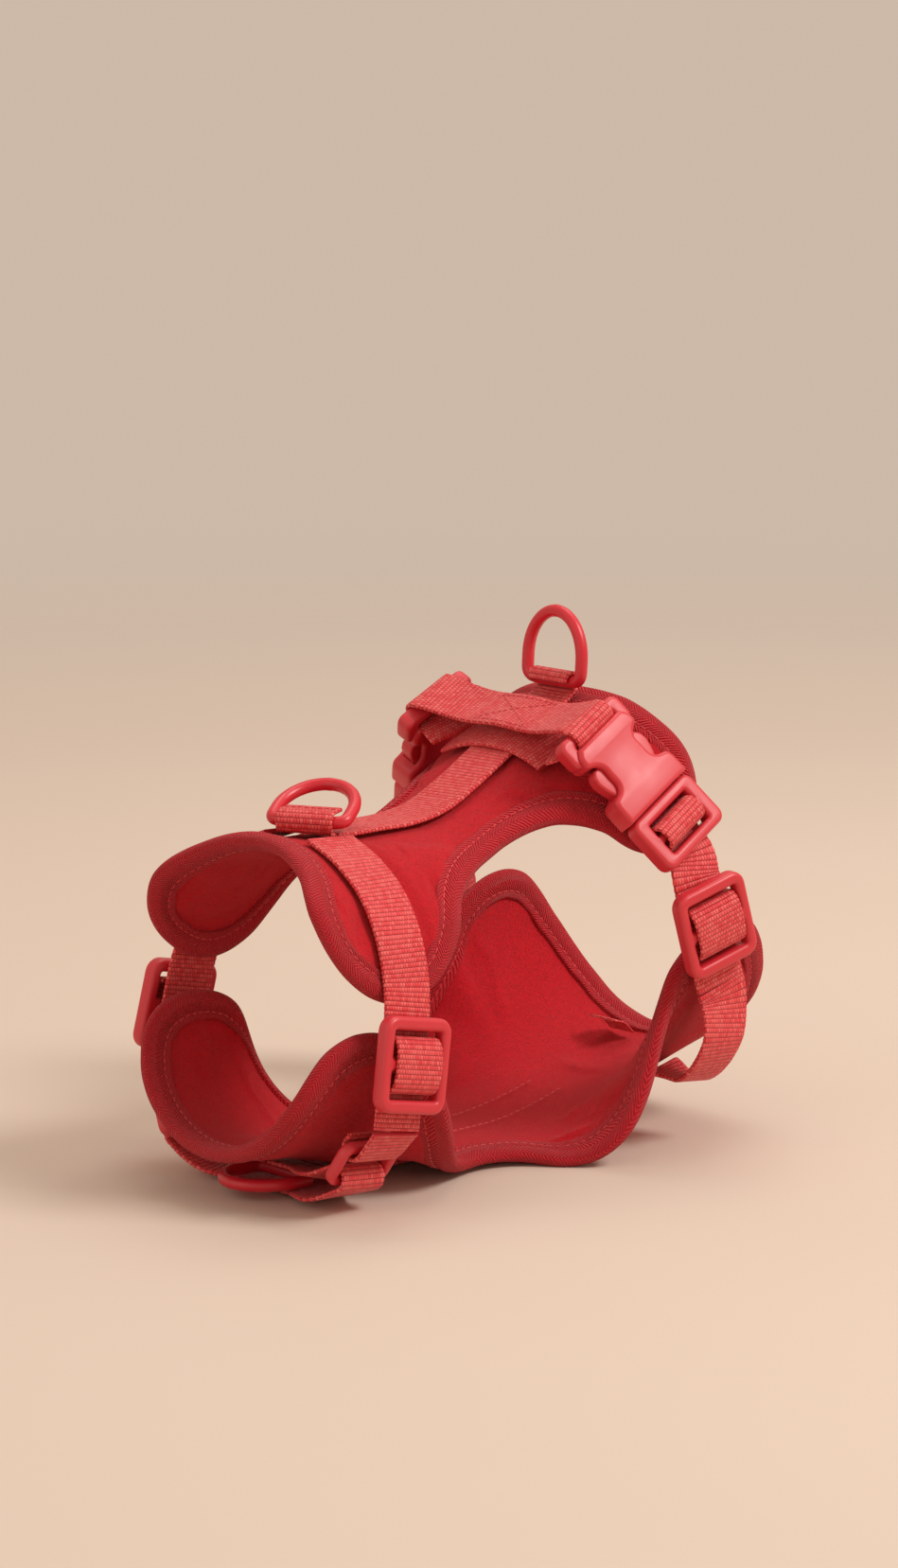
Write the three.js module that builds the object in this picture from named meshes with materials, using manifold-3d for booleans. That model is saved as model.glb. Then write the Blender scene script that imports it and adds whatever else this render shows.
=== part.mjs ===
// A small vest harness for a dog, standing open in the shape it has when worn.
//
// Frame: millimetres, +Z up. The dog's head points to -X, its left side is -Y and its
// right side is +Y. The finished group stands on z = 0, centred on the origin in x and y.
//
// A padded back panel and a padded chest panel, both hourglass-shaped and edged with a
// folded binding, are joined by two neck straps and by a girth strap. Each side of the
// girth strap opens at a side-release buckle, and four three-bar slides set its length.

import * as THREE from 'three';
import { mergeVertices } from 'three/addons/utils/BufferGeometryUtils.js';
import Module from 'manifold-3d';

const wasm = await Module();
wasm.setup();

// ---------------------------------------------------------------- driving dimensions

const GAP = 0.3; // running gap between neighbouring solids
const SEAM_GAP = 1.4; // gap between a panel and its binding

const WEBBING_WIDTH = 20;
const WEBBING_THICKNESS = 1.5;
const WEBBING_PITCH = WEBBING_THICKNESS + GAP; // from one layer of webbing to the next

const PANEL_THICKNESS = 4;
const BINDING_WIDTH = 10;
const BINDING_THICKNESS = 6;

// Offsets from the middle of a panel to the middle of a strap outside it.
const ON_PANEL = PANEL_THICKNESS / 2 + GAP + WEBBING_THICKNESS / 2;
const OVER_BINDING = BINDING_THICKNESS / 2 + 2 * GAP + WEBBING_THICKNESS / 2;

// Back panel: height of its middle line and how tightly it curls down at the sides.
const BACK_FRONT_HEIGHT = 116.5;
const BACK_RISE = 33;
const BACK_RISE_FROM = -10;
const BACK_RISE_TO = 80;
const NECK_CURL_RADIUS = 49;
const LOIN_CURL_RADIUS = 57;
const LOIN_SHIFT = 3; // the loin and the girth strap sit this far towards the right side
const RUMP_LIFT_FROM = 60; // behind this the panel lifts towards its rear edge
const RUMP_LIFT_TO = 88;
const RUMP_LIFT = 9;

// Chest panel: heights of its middle line and the curl of its two ends.
const CHEST_FRONT_HEIGHT = 17;
const CHEST_WAIST_HEIGHT = 5.2;
const CHEST_REAR_HEIGHT = 28;
const CHEST_FRONT_X = -98;
const CHEST_REAR_X = 120;
const BREAST_CURL_RADIUS = 44;
const BELLY_CURL_RADIUS = 57;
const WAIST_SAG = 0.004;

// Rings: one welded ring of coated wire, used three times.
const RING_WIRE_RADIUS = 1.9;
const RING_HALF_WIDTH = 13.4;
const RING_HALF_LENGTH = 12.2;
const RING_BAR_DROP = 8; // from the widest part of the ring down to its bar

// Three-bar slide.
const SLIDE_WIDTH = 28;
const SLIDE_LENGTH = 31;
const SLIDE_THICKNESS = 5;
const SLIDE_WINDOW = 21.4;
const SLIDE_END_BAR = 4;
const SLIDE_MIDDLE_BAR = 4;
const SLIDE_STRAP_DEPTH = SLIDE_THICKNESS / 2 + 1.1 + WEBBING_THICKNESS / 2;

// Side-release buckle, measured along its length from the webbing bar of the socket.
const BUCKLE_WIDTH = 33;
const SOCKET_THICKNESS = 10;
const SOCKET_BAR_RADIUS = 2;
const SOCKET_BAR_CENTRE = -0.55;
const SOCKET_BAR_WRAP = 4.3; // from the bar's middle to the middle of the webbing round it
const SOCKET_BODY_FROM = 6;
const SOCKET_MOUTH = 34;
const WINDOW_FROM = 10;
const WINDOW_TO = 24;
const WINDOW_HALF_WIDTH = 9.5;
const CAVITY_HALF_WIDTH = 12.2;
const CAVITY_THICKNESS = 5.6;
const CAVITY_END = 9;
const PLUG_FROM = SOCKET_MOUTH + GAP;
const PLUG_LENGTH = 21;
const PLUG_THICKNESS = 7;
const PLUG_END_BAR = 4;
const PLUG_WINDOW_LENGTH = 12.6;
const PRONG_THICKNESS = 4.6;
const PRONG_TIP = 12;
const PRONG_INNER = 6.5;
const PRONG_OUTER = 10.5;
const PRONG_HINGE = (PRONG_INNER + PRONG_OUTER) / 2;
const PRONG_ROOT_RADIUS = (PRONG_OUTER - PRONG_INNER) / 2;
const PRONG_HINGE_DROP = PRONG_ROOT_RADIUS + GAP;
const PRONG_HEAD = 13.6;
const PRONG_HEAD_AT = 16;

// Rectangular loop that joins a neck strap to the chest strap.
const LOOP_WIDTH = 28;
const LOOP_LENGTH = 17;
const LOOP_THICKNESS = 4;
const LOOP_BAR = 3.5;
const LOOP_BAR_Y = (LOOP_LENGTH - LOOP_BAR) / 2;
const LOOP_BAR_WRAP = 4.1; // from the bar's middle to the middle of the webbing round it

const RED_FABRIC = 0xc8202e;
const RED_WEBBING = 0xcf3540;
const RED_PLASTIC = 0xd24650;

// ---------------------------------------------------------------- materials

/** A matte material of one colour. */
function matte(color, roughness) {
  return new THREE.MeshStandardMaterial({ color, roughness, metalness: 0 });
}

const fabric = matte(RED_FABRIC, 0.9);
const binding = matte(RED_FABRIC, 0.85);
const webbing = matte(RED_WEBBING, 0.7);
const plastic = matte(RED_PLASTIC, 0.45);
const coating = matte(RED_PLASTIC, 0.5);

// ---------------------------------------------------------------- general helpers

const vec = (x, y, z) => new THREE.Vector3(x, y, z);

/** Names a mesh and gives it its material. */
function named(name, geometry, material) {
  const mesh = new THREE.Mesh(geometry, material);
  mesh.name = name;
  return mesh;
}

/** Six times the volume that the triangles enclose, negative when they face inwards. */
function signedVolume(geometry) {
  const { position } = geometry.attributes;
  const index = geometry.index;
  const [a, b, c] = [vec(0, 0, 0), vec(0, 0, 0), vec(0, 0, 0)];
  let total = 0;
  for (let i = 0; i < index.count; i += 3) {
    a.fromBufferAttribute(position, index.getX(i));
    b.fromBufferAttribute(position, index.getX(i + 1));
    c.fromBufferAttribute(position, index.getX(i + 2));
    total += a.dot(b.cross(c));
  }
  return total;
}

/** Moves every vertex of a three.js solid through place(vertex, uv) and faces it outwards. */
function deform(geometry, place) {
  const { position, uv } = geometry.attributes;
  const corner = vec(0, 0, 0);
  const mark = new THREE.Vector2();
  for (let i = 0; i < position.count; i += 1) {
    corner.fromBufferAttribute(position, i);
    mark.fromBufferAttribute(uv, i);
    const moved = place(corner, mark);
    position.setXYZ(i, moved.x, moved.y, moved.z);
  }
  if (signedVolume(geometry) < 0) {
    const index = geometry.index;
    for (let i = 0; i < index.count; i += 3) {
      const kept = index.getX(i + 1);
      index.setX(i + 1, index.getX(i + 2));
      index.setX(i + 2, kept);
    }
  }
  geometry.computeVertexNormals();
  return geometry;
}

/** A manifold solid from a closed three.js geometry. */
function solidOf(geometry) {
  const bare = geometry.index ? geometry.clone() : geometry;
  bare.deleteAttribute('normal');
  bare.deleteAttribute('uv');
  const merged = mergeVertices(bare, 1e-4);
  const mesh = new wasm.Mesh({
    numProp: 3,
    vertProperties: new Float32Array(merged.attributes.position.array),
    triVerts: new Uint32Array(merged.index.array),
  });
  return new wasm.Manifold(mesh);
}

/** A three.js geometry from a manifold solid. */
function geometryOf(solid) {
  const { vertProperties, triVerts } = solid.getMesh();
  const geometry = new THREE.BufferGeometry();
  geometry.setAttribute('position', new THREE.BufferAttribute(vertProperties, 3));
  geometry.setIndex(new THREE.BufferAttribute(triVerts, 1));
  geometry.computeVertexNormals();
  return geometry;
}

/** A plate of the given outline, centred on z = 0, with softened edges. */
function plate(shape, thickness, bevel = 0.6) {
  const geometry = new THREE.ExtrudeGeometry(shape, {
    depth: thickness - 2 * bevel,
    bevelEnabled: bevel > 0,
    bevelSize: bevel,
    bevelOffset: -bevel,
    bevelThickness: bevel,
    bevelSegments: 1,
    curveSegments: 2,
  });
  geometry.translate(0, 0, bevel - thickness / 2);
  return geometry;
}

/** Traces a rectangle with round corners onto a shape or a hole. */
function traceRectangle(path, centreY, width, length, radius) {
  const right = width / 2;
  const top = centreY + length / 2;
  const bottom = centreY - length / 2;
  path.moveTo(-right + radius, bottom);
  path.lineTo(right - radius, bottom);
  path.absarc(right - radius, bottom + radius, radius, -Math.PI / 2, 0, false);
  path.lineTo(right, top - radius);
  path.absarc(right - radius, top - radius, radius, 0, Math.PI / 2, false);
  path.lineTo(-right + radius, top);
  path.absarc(-right + radius, top - radius, radius, Math.PI / 2, Math.PI, false);
  path.lineTo(-right, bottom + radius);
  path.absarc(-right + radius, bottom + radius, radius, Math.PI, 1.5 * Math.PI, false);
  return path;
}

/** A round-cornered rectangular outline. */
function rectangle(centreY, width, length, radius) {
  return traceRectangle(new THREE.Shape(), centreY, width, length, radius);
}

/** A round-cornered rectangular hole. */
function slot(centreY, width, length, radius) {
  return traceRectangle(new THREE.Path(), centreY, width, length, radius);
}

// ---------------------------------------------------------------- soft goods helpers

/**
 * A curled sheet. height(x) is its middle line, curl(x) its curvature across, and side is
 * +1 when it curls up and -1 when it curls down. shift(x) moves the middle line sideways.
 * The result places the point that is q millimetres round from the middle line, lifted off
 * the sheet on its outer side.
 */
function curledSheet(height, curl, side, shift = () => 0) {
  const middle = (x, q) => {
    const c = Math.abs(curl(x)) < 1e-6 ? 1e-6 : curl(x);
    const rise = (side * (1 - Math.cos(c * q))) / c;
    return vec(x, Math.sin(c * q) / c + shift(x), height(x) + rise);
  };
  const outward = (x, q) => {
    const along = middle(x + 0.5, q).sub(middle(x - 0.5, q));
    const across = middle(x, q + 0.5).sub(middle(x, q - 0.5));
    return along.cross(across).multiplyScalar(-side).normalize();
  };
  return {
    outward,
    at: (x, q, lift = 0) => middle(x, q).addScaledVector(outward(x, q), lift),
  };
}

/** A closed outline from the half given by [x, q] points, front middle to rear middle. */
function mirroredOutline(half) {
  const right = half.map(([x, q]) => vec(x, q, 0));
  const left = half.slice(1, -1).reverse().map(([x, q]) => vec(x, -q, 0));
  const curve = new THREE.CatmullRomCurve3([...right, ...left], true, 'centripetal');
  curve.arcLengthDivisions = 600;
  return curve;
}

/** The point of an outline at u, moved inwards by an inset. */
function insetPoint(outline, u, inset) {
  const turn = ((u % 1) + 1) % 1;
  const along = outline.getTangentAt(turn);
  return outline.getPointAt(turn).add(vec(along.y, -along.x, 0).multiplyScalar(inset));
}

/** Where along an outline it comes nearest to a flat point. */
function nearestOn(outline, [x, q]) {
  let best = 0;
  let least = Infinity;
  for (let i = 0; i <= 300; i += 1) {
    const distance = outline.getPointAt(i / 600).distanceTo(vec(x, q, 0));
    if (distance < least) {
      least = distance;
      best = i / 600;
    }
  }
  return best;
}

/** The padded sheet inside a binding: a slab stretched between four stretches of outline. */
function panelSlab(sheet, outline, frontCorner, rearCorner) {
  const inset = BINDING_WIDTH + SEAM_GAP;
  const front = nearestOn(outline, frontCorner);
  const rear = nearestOn(outline, rearCorner);
  const frontSide = (t) => insetPoint(outline, THREE.MathUtils.lerp(-front, front, t), inset);
  const rearSide = (t) => insetPoint(outline, THREE.MathUtils.lerp(1 - rear, rear, t), inset);
  const rightSide = (s) => insetPoint(outline, THREE.MathUtils.lerp(front, rear, s), inset);
  const leftSide = (s) => insetPoint(outline, THREE.MathUtils.lerp(1 - front, 1 - rear, s), inset);
  const flat = (s, t) => {
    const lengthways = frontSide(t).multiplyScalar(1 - s).addScaledVector(rearSide(t), s);
    const crossways = leftSide(s).multiplyScalar(1 - t).addScaledVector(rightSide(s), t);
    const corners = frontSide(0).multiplyScalar((1 - s) * (1 - t));
    corners.addScaledVector(frontSide(1), (1 - s) * t);
    corners.addScaledVector(rearSide(0), s * (1 - t));
    corners.addScaledVector(rearSide(1), s * t);
    return lengthways.add(crossways).sub(corners);
  };
  return deform(new THREE.BoxGeometry(1, 1, 1, 20, 14, 1), (corner) => {
    const point = flat(corner.x + 0.5, corner.y + 0.5);
    return sheet.at(point.x, point.y, corner.z * PANEL_THICKNESS);
  });
}

/** The folded tape round a panel's edge: a closed bead with an oval section. */
function panelBinding(sheet, outline) {
  return deform(new THREE.TorusGeometry(2, 1, 6, 88), (corner, mark) => {
    const outer = insetPoint(outline, mark.x, 0);
    const inner = insetPoint(outline, mark.x, BINDING_WIDTH);
    const turn = 2 * Math.PI * mark.y;
    const middle = outer.clone().lerp(inner, 0.5 - 0.5 * Math.cos(turn));
    return sheet.at(middle.x, middle.y, (BINDING_THICKNESS / 2) * Math.sin(turn));
  });
}

/** A length of flat webbing through stations, each with the direction its face points. */
function ribbon(stations, steps, width = WEBBING_WIDTH, thickness = WEBBING_THICKNESS) {
  const path = new THREE.CatmullRomCurve3(stations.map((s) => s.at));
  const facing = new THREE.CatmullRomCurve3(stations.map((s) => s.out));
  return deform(new THREE.BoxGeometry(1, width, thickness, steps, 1, 1), (corner) => {
    const t = THREE.MathUtils.clamp(corner.x + 0.5, 0, 1);
    const along = path.getTangent(t);
    const out = facing.getPoint(t);
    out.addScaledVector(along, -out.dot(along)).normalize();
    const across = out.clone().cross(along);
    return path.getPoint(t).addScaledVector(across, corner.y).addScaledVector(out, corner.z);
  });
}

/** A strip bent in the y-z plane, its width along x: stations are [y, z, facing y, facing z]. */
function bentStrip(points, steps, width = WEBBING_WIDTH) {
  const stations = points.map(([y, z, outY, outZ]) => ({ at: vec(0, y, z), out: vec(0, outY, outZ) }));
  return ribbon(stations, steps, width);
}

/** A group standing at a point, its y axis along the strap and its z axis facing out. */
function placedFrame(origin, along, facing) {
  const y = along.clone().normalize();
  const x = y.clone().cross(facing).normalize();
  const z = x.clone().cross(y);
  const group = new THREE.Group();
  group.quaternion.setFromRotationMatrix(new THREE.Matrix4().makeBasis(x, y, z));
  group.position.copy(origin);
  group.updateMatrixWorld(true);
  return group;
}

/** A station given in the axes of a placed frame. */
function stationIn(frame, x, y, z) {
  const out = vec(0, 0, 1).applyQuaternion(frame.quaternion);
  return { at: frame.localToWorld(vec(x, y, z)), out };
}

/**
 * Stations half way round a bar that lies along the x axis of a frame at the given y. Both
 * ends of the half turn leave towards the given point, the first on the inner side.
 */
function wrapRound(frame, barY, radius, towards) {
  const centre = frame.localToWorld(vec(0, barY, 0));
  const away = towards.clone().sub(centre).applyQuaternion(frame.quaternion.clone().invert());
  const heading = Math.atan2(away.z, away.y);
  return [90, 135, 180, 225, 270].map((degrees) => {
    const turn = heading + THREE.MathUtils.degToRad(degrees);
    const out = vec(0, Math.cos(turn), Math.sin(turn)).applyQuaternion(frame.quaternion);
    return { at: centre.clone().addScaledVector(out, radius), out };
  });
}

// ---------------------------------------------------------------- panels

const { smoothstep, lerp } = THREE.MathUtils;

const backSheet = curledSheet(
  (x) => {
    const rise = BACK_RISE * smoothstep(x, BACK_RISE_FROM, BACK_RISE_TO);
    const brim = Math.max(0, -48 - x);
    const lift = RUMP_LIFT * smoothstep(x, RUMP_LIFT_FROM, RUMP_LIFT_TO);
    return BACK_FRONT_HEIGHT + rise + 0.006 * brim * brim + lift;
  },
  (x) => lerp(1 / NECK_CURL_RADIUS, 1 / LOIN_CURL_RADIUS, smoothstep(x, -40, -5)),
  -1,
  (x) => LOIN_SHIFT * smoothstep(x, -20, 40),
);

const chestSheet = curledSheet(
  (x) => {
    const brim = (CHEST_FRONT_HEIGHT - CHEST_WAIST_HEIGHT) * (1 - smoothstep(x, CHEST_FRONT_X, -30));
    const tuck = CHEST_REAR_HEIGHT - CHEST_WAIST_HEIGHT;
    return CHEST_WAIST_HEIGHT + brim + tuck * smoothstep(x, 20, CHEST_REAR_X + 25);
  },
  (x) => {
    const breast = (1 / BREAST_CURL_RADIUS + WAIST_SAG) * (1 - smoothstep(x, -50, -5));
    const belly = (1 / BELLY_CURL_RADIUS + WAIST_SAG) * smoothstep(x, 24, 68);
    return breast + belly - WAIST_SAG;
  },
  1,
);

const backOutline = mirroredOutline([
  [-74, 0], // middle of the neck edge
  [-78, 24],
  [-86, 48],
  [-82, 63],
  [-70, 72],
  [-54, 75], // tip of the shoulder lobe
  [-38, 70],
  [-26, 58],
  [-18, 45],
  [-4, 36],
  [14, 34], // waist
  [30, 40],
  [44, 54],
  [54, 68],
  [68, 76], // tip of the loin wing
  [82, 71],
  [87, 54],
  [83, 32],
  [77, 0], // middle of the rear edge
]);

const chestOutline = mirroredOutline([
  [CHEST_FRONT_X, 0], // middle of the neck edge
  [-97, 26],
  [-93, 48],
  [-84, 65],
  [-68, 74],
  [-51, 74], // tip of the breast lobe
  [-38, 64],
  [-29, 50],
  [-18, 38],
  [-2, 32],
  [12, 35], // waist, beside the leg holes
  [25, 48],
  [40, 62],
  [56, 71],
  [69, 87],
  [86, 93], // tip of the belly wing
  [104, 87],
  [116, 66],
  [121, 43],
  [CHEST_REAR_X + 1, 20],
  [CHEST_REAR_X, 0], // middle of the rear edge
]);

/** Both padded panels with their bindings. */
function panels() {
  return [
    named('back_panel', panelSlab(backSheet, backOutline, [-83, 60], [87, 60]), fabric),
    named('back_panel_binding', panelBinding(backSheet, backOutline), binding),
    named('chest_panel', panelSlab(chestSheet, chestOutline, [-87, 62], [112, 78]), fabric),
    named('chest_panel_binding', panelBinding(chestSheet, chestOutline), binding),
  ];
}

// ---------------------------------------------------------------- rings

/** The middle of a ring's wire: an arch over a nearly straight bar, in the y-z plane. */
function ringPath(turn) {
  const low = Math.sin(turn) < 0;
  const roundness = low ? 1 / 3 : 1;
  const reach = low ? RING_BAR_DROP : 2 * RING_HALF_LENGTH - RING_BAR_DROP;
  const y = RING_HALF_WIDTH * Math.sign(Math.cos(turn)) * Math.abs(Math.cos(turn)) ** roundness;
  const z = reach * Math.sign(Math.sin(turn)) * Math.abs(Math.sin(turn)) ** roundness;
  return vec(0, y, z + RING_BAR_DROP);
}

/** A welded ring whose straight bar lies along y through the origin. */
function ringGeometry() {
  return deform(new THREE.TorusGeometry(2, 1, 8, 30), (corner, mark) => {
    const turn = 2 * Math.PI * mark.x + 1e-4;
    const tube = 2 * Math.PI * mark.y;
    const along = ringPath(turn + 1e-3).sub(ringPath(turn - 1e-3)).normalize();
    const outward = vec(0, along.z, -along.y).multiplyScalar(RING_WIRE_RADIUS * Math.cos(tube));
    return ringPath(turn).add(outward).setX(RING_WIRE_RADIUS * Math.sin(tube));
  });
}

/** A ring hung on a pivot, turned about the vertical by yaw and leaning back by lean. */
function ring(name, pivot, yaw, lean) {
  const group = new THREE.Group();
  group.position.copy(pivot);
  group.rotation.set(0, lean, yaw, 'ZYX');
  group.add(named(name, ringGeometry(), coating));
  return group;
}

const FRONT_RING_X = -52;
const FRONT_RING_YAW = 0.5;
const FRONT_RING_LEAN = 1.2;
const REAR_RING_X = 66.5;
const REAR_RING_YAW = 0;
const REAR_RING_LEAN = 0.06;
const CHEST_RING_X = -62;
const CHEST_RING_LEAN = -1.54;

const RING_CLEARANCE = RING_WIRE_RADIUS + 0.7 + WEBBING_THICKNESS / 2;

const frontRingPivot = vec(FRONT_RING_X, 0, BACK_FRONT_HEIGHT + ON_PANEL + RING_CLEARANCE + 1.1);
const rearRingPivot = vec(REAR_RING_X, LOIN_SHIFT, 159);
const chestRingPivot = vec(CHEST_RING_X, 0, 4.4);

// ---------------------------------------------------------------- straps down the middle

/** The strap along the back: from under the girth strap to a fold round the front ring. */
function spineStrap() {
  const stations = [52, 38, 22, 5, -12, -28, -40].map((x) => ({
    at: backSheet.at(x, 0, ON_PANEL),
    out: backSheet.outward(x, 0),
  }));
  const forward = vec(-Math.cos(FRONT_RING_YAW), -Math.sin(FRONT_RING_YAW), 0);
  const frame = placedFrame(frontRingPivot, forward, vec(0, 0, 1));
  stations.push(...wrapRound(frame, 0, RING_CLEARANCE, frontRingPivot.clone().sub(forward)));
  stations.push(stationIn(frame, 0, -7, RING_CLEARANCE));
  return named('spine_strap', ribbon(stations, 34), webbing);
}

/** The short fold of webbing that holds the rear ring, its ends sewn under the girth strap. */
function rearRingLoop() {
  const pivot = rearRingPivot;
  const stations = [{ at: backSheet.at(56, 0, ON_PANEL), out: vec(0.5, 0, -0.86) }];
  for (const angle of [-20, 20, 60, 100, 140, 180]) {
    const turn = THREE.MathUtils.degToRad(angle);
    const out = vec(Math.cos(turn), 0, Math.sin(turn));
    stations.push({ at: pivot.clone().addScaledVector(out, RING_CLEARANCE), out });
  }
  return named('rear_ring_loop', ribbon(stations, 18, WEBBING_WIDTH - 1), webbing);
}

/** The strap sewn along the underside of the chest panel. */
function bellyStrap() {
  const stations = [-48, -32, -16, 0, 20, 40, 62].map((x) => ({
    at: chestSheet.at(x, 0, ON_PANEL + GAP),
    out: chestSheet.outward(x, 0),
  }));
  return named('belly_strap', ribbon(stations, 16), webbing);
}

/** The folded care label, left blank, that stands up from the rear edge inside the belly. */
function blankLabel() {
  const foot = chestSheet.at(104, 6, -PANEL_THICKNESS / 2 - 5 * GAP);
  const stations = [
    { at: foot.clone().add(vec(1, 0, 0.2)), out: vec(1, 0, 0.3) },
    { at: foot.clone().add(vec(-3, 0, 4)), out: vec(0.6, 0, 0.8) },
    { at: foot.clone().add(vec(-9, 0, 6)), out: vec(0.2, 0, 1) },
  ];
  return named('blank_label', ribbon(stations, 5, 12, 0.8), webbing);
}

// ---------------------------------------------------------------- three-bar slides and loops

/** The frame of a three-bar slide: two windows either side of a middle bar. */
function slideFrame(name) {
  const outline = rectangle(0, SLIDE_WIDTH, SLIDE_LENGTH, 4);
  const window = (SLIDE_LENGTH - 2 * SLIDE_END_BAR - SLIDE_MIDDLE_BAR) / 2;
  const offset = (SLIDE_MIDDLE_BAR + window) / 2;
  outline.holes.push(slot(offset, SLIDE_WINDOW, window, 0.8));
  outline.holes.push(slot(-offset, SLIDE_WINDOW, window, 0.8));
  return named(name, plate(outline, SLIDE_THICKNESS), plastic);
}

/** Webbing folded over a bar at y = 0: it rises through one window and goes down the other. */
function foldOverBar(name, reach, rise, foot) {
  const shoulder = 0.72 * reach;
  const points = [
    [-reach, foot, -1, 0],
    [-reach, 0.35 * rise, -1, 0.2],
    [-shoulder, 0.82 * rise, -0.6, 0.8],
    [0, rise, 0, 1],
    [shoulder, 0.82 * rise, 0.6, 0.8],
    [reach, 0.35 * rise, 1, 0.2],
    [reach, foot, 1, 0],
  ];
  return named(name, bentStrip(points, 14), webbing);
}

/** One slide with the webbing folded over its middle bar. */
function slide(frame, name) {
  const foot = -(SLIDE_THICKNESS / 2) - 0.05;
  frame.add(slideFrame(name));
  frame.add(foldOverBar(`${name}_webbing`, 8.6, 3.9, foot));
  return frame;
}

/** The rectangular loop at an end of the chest strap. */
function chestLoop(name) {
  const outline = rectangle(0, LOOP_WIDTH, LOOP_LENGTH, 4);
  const opening = LOOP_LENGTH - 2 * LOOP_BAR;
  outline.holes.push(slot(0, WEBBING_WIDTH + 1.2, opening, 0.8));
  return named(name, plate(outline, LOOP_THICKNESS), plastic);
}

// ---------------------------------------------------------------- buckles

/** The outline of the socket: full width at its mouth, hollowed at the two windows. */
function socketOutline() {
  const half = BUCKLE_WIDTH / 2;
  const shape = new THREE.Shape();
  shape.moveTo(-half + 3, SOCKET_BODY_FROM);
  shape.lineTo(half - 3, SOCKET_BODY_FROM);
  shape.quadraticCurveTo(half - 1, SOCKET_BODY_FROM, half - 2, WINDOW_FROM);
  shape.quadraticCurveTo(WINDOW_HALF_WIDTH, WINDOW_FROM + 1, WINDOW_HALF_WIDTH, 17);
  shape.quadraticCurveTo(WINDOW_HALF_WIDTH, WINDOW_TO, half - 1.5, WINDOW_TO + 1);
  shape.lineTo(half, SOCKET_MOUTH - 5);
  shape.lineTo(half, SOCKET_MOUTH);
  shape.lineTo(-half, SOCKET_MOUTH);
  shape.lineTo(-half, SOCKET_MOUTH - 5);
  shape.lineTo(-half + 1.5, WINDOW_TO + 1);
  shape.quadraticCurveTo(-WINDOW_HALF_WIDTH, WINDOW_TO, -WINDOW_HALF_WIDTH, 17);
  shape.quadraticCurveTo(-WINDOW_HALF_WIDTH, WINDOW_FROM + 1, -half + 2, WINDOW_FROM);
  shape.quadraticCurveTo(-half + 1, SOCKET_BODY_FROM, -half + 3, SOCKET_BODY_FROM);
  return shape;
}

/** The socket half: a hollow body, two horns and the bar that the webbing folds round. */
function socketGeometry() {
  const horns = rectangle(3, BUCKLE_WIDTH, 11.4, 2.5);
  horns.holes.push(slot(3.6, WEBBING_WIDTH + 1.4, 4, 0.5));
  const body = solidOf(plate(socketOutline(), SOCKET_THICKNESS));
  const cavityLength = SOCKET_MOUTH - CAVITY_END + 2;
  const cavity = new THREE.BoxGeometry(2 * CAVITY_HALF_WIDTH, cavityLength, CAVITY_THICKNESS);
  cavity.translate(0, CAVITY_END + cavityLength / 2, 0);
  const yoke = solidOf(plate(horns, 2 * SOCKET_BAR_RADIUS + 1));
  return geometryOf(body.add(yoke).subtract(solidOf(cavity)));
}

/** The frame of the plug: two windows either side of the bar that takes the webbing. */
function plugFrameGeometry() {
  const outline = rectangle(PLUG_LENGTH / 2, BUCKLE_WIDTH, PLUG_LENGTH, 3);
  const window = (PLUG_WINDOW_LENGTH - 3) / 2;
  const middle = PLUG_LENGTH - PLUG_END_BAR - PLUG_WINDOW_LENGTH / 2;
  outline.holes.push(slot(middle + (3 + window) / 2, WEBBING_WIDTH + 1.4, window, 0.6));
  outline.holes.push(slot(middle - (3 + window) / 2, WEBBING_WIDTH + 1.4, window, 0.6));
  return plate(outline, PLUG_THICKNESS);
}

/** One springy prong of the plug: its round root is centred on the origin, its tip along -y. */
function prongGeometry(hand) {
  const at = (y) => y - PLUG_FROM;
  const rail = PRONG_OUTER;
  const shape = new THREE.Shape();
  shape.moveTo(PRONG_INNER, -PRONG_HINGE_DROP);
  shape.lineTo(PRONG_INNER, at(PRONG_TIP + 3));
  shape.lineTo(PRONG_INNER + 1.6, at(PRONG_TIP));
  shape.lineTo(PRONG_OUTER, at(PRONG_TIP));
  shape.quadraticCurveTo(PRONG_HEAD, at(PRONG_TIP + 0.6), PRONG_HEAD, at(PRONG_HEAD_AT));
  shape.lineTo(rail, at(PRONG_HEAD_AT + 9.5));
  shape.lineTo(rail, -PRONG_HINGE_DROP);
  shape.absarc(PRONG_HINGE, -PRONG_HINGE_DROP, PRONG_ROOT_RADIUS, 0, Math.PI, false);
  const geometry = plate(shape, PRONG_THICKNESS, 0.4);
  geometry.translate(-PRONG_HINGE, PRONG_HINGE_DROP, 0);
  return hand > 0 ? geometry : mirroredAcross(geometry);
}

/** A geometry mirrored in x, with its faces turned back outwards. */
function mirroredAcross(geometry) {
  const indexed = mergeVertices(geometry, 1e-4);
  return deform(indexed, (corner) => vec(-corner.x, corner.y, corner.z));
}

// ---------------------------------------------------------------- the two sides

/** Mirrors a point or a direction that is given for the dog's right side onto one side. */
function onSide(side, x, y, z) {
  return vec(x, side * y, z);
}

const SIDES = [
  { side: -1, hand: 'left' },
  { side: 1, hand: 'right' },
];

/** The axes in which the buckle of one side is built, its origin on the socket's bar. */
function buckleFrame(side) {
  return placedFrame(vec(45, side * 38.5 + LOIN_SHIFT, 149), onSide(side, 0.44, 0.52, -0.73), onSide(side, -0.19, 0.85, 0.49));
}

/** The axes of the girth slide of one side. */
function girthSlideFrame(side) {
  return placedFrame(onSide(side, 74, 69, 81), onSide(side, 0.3, 0, -0.95), onSide(side, -0.15, 0.98, 0));
}

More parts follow.
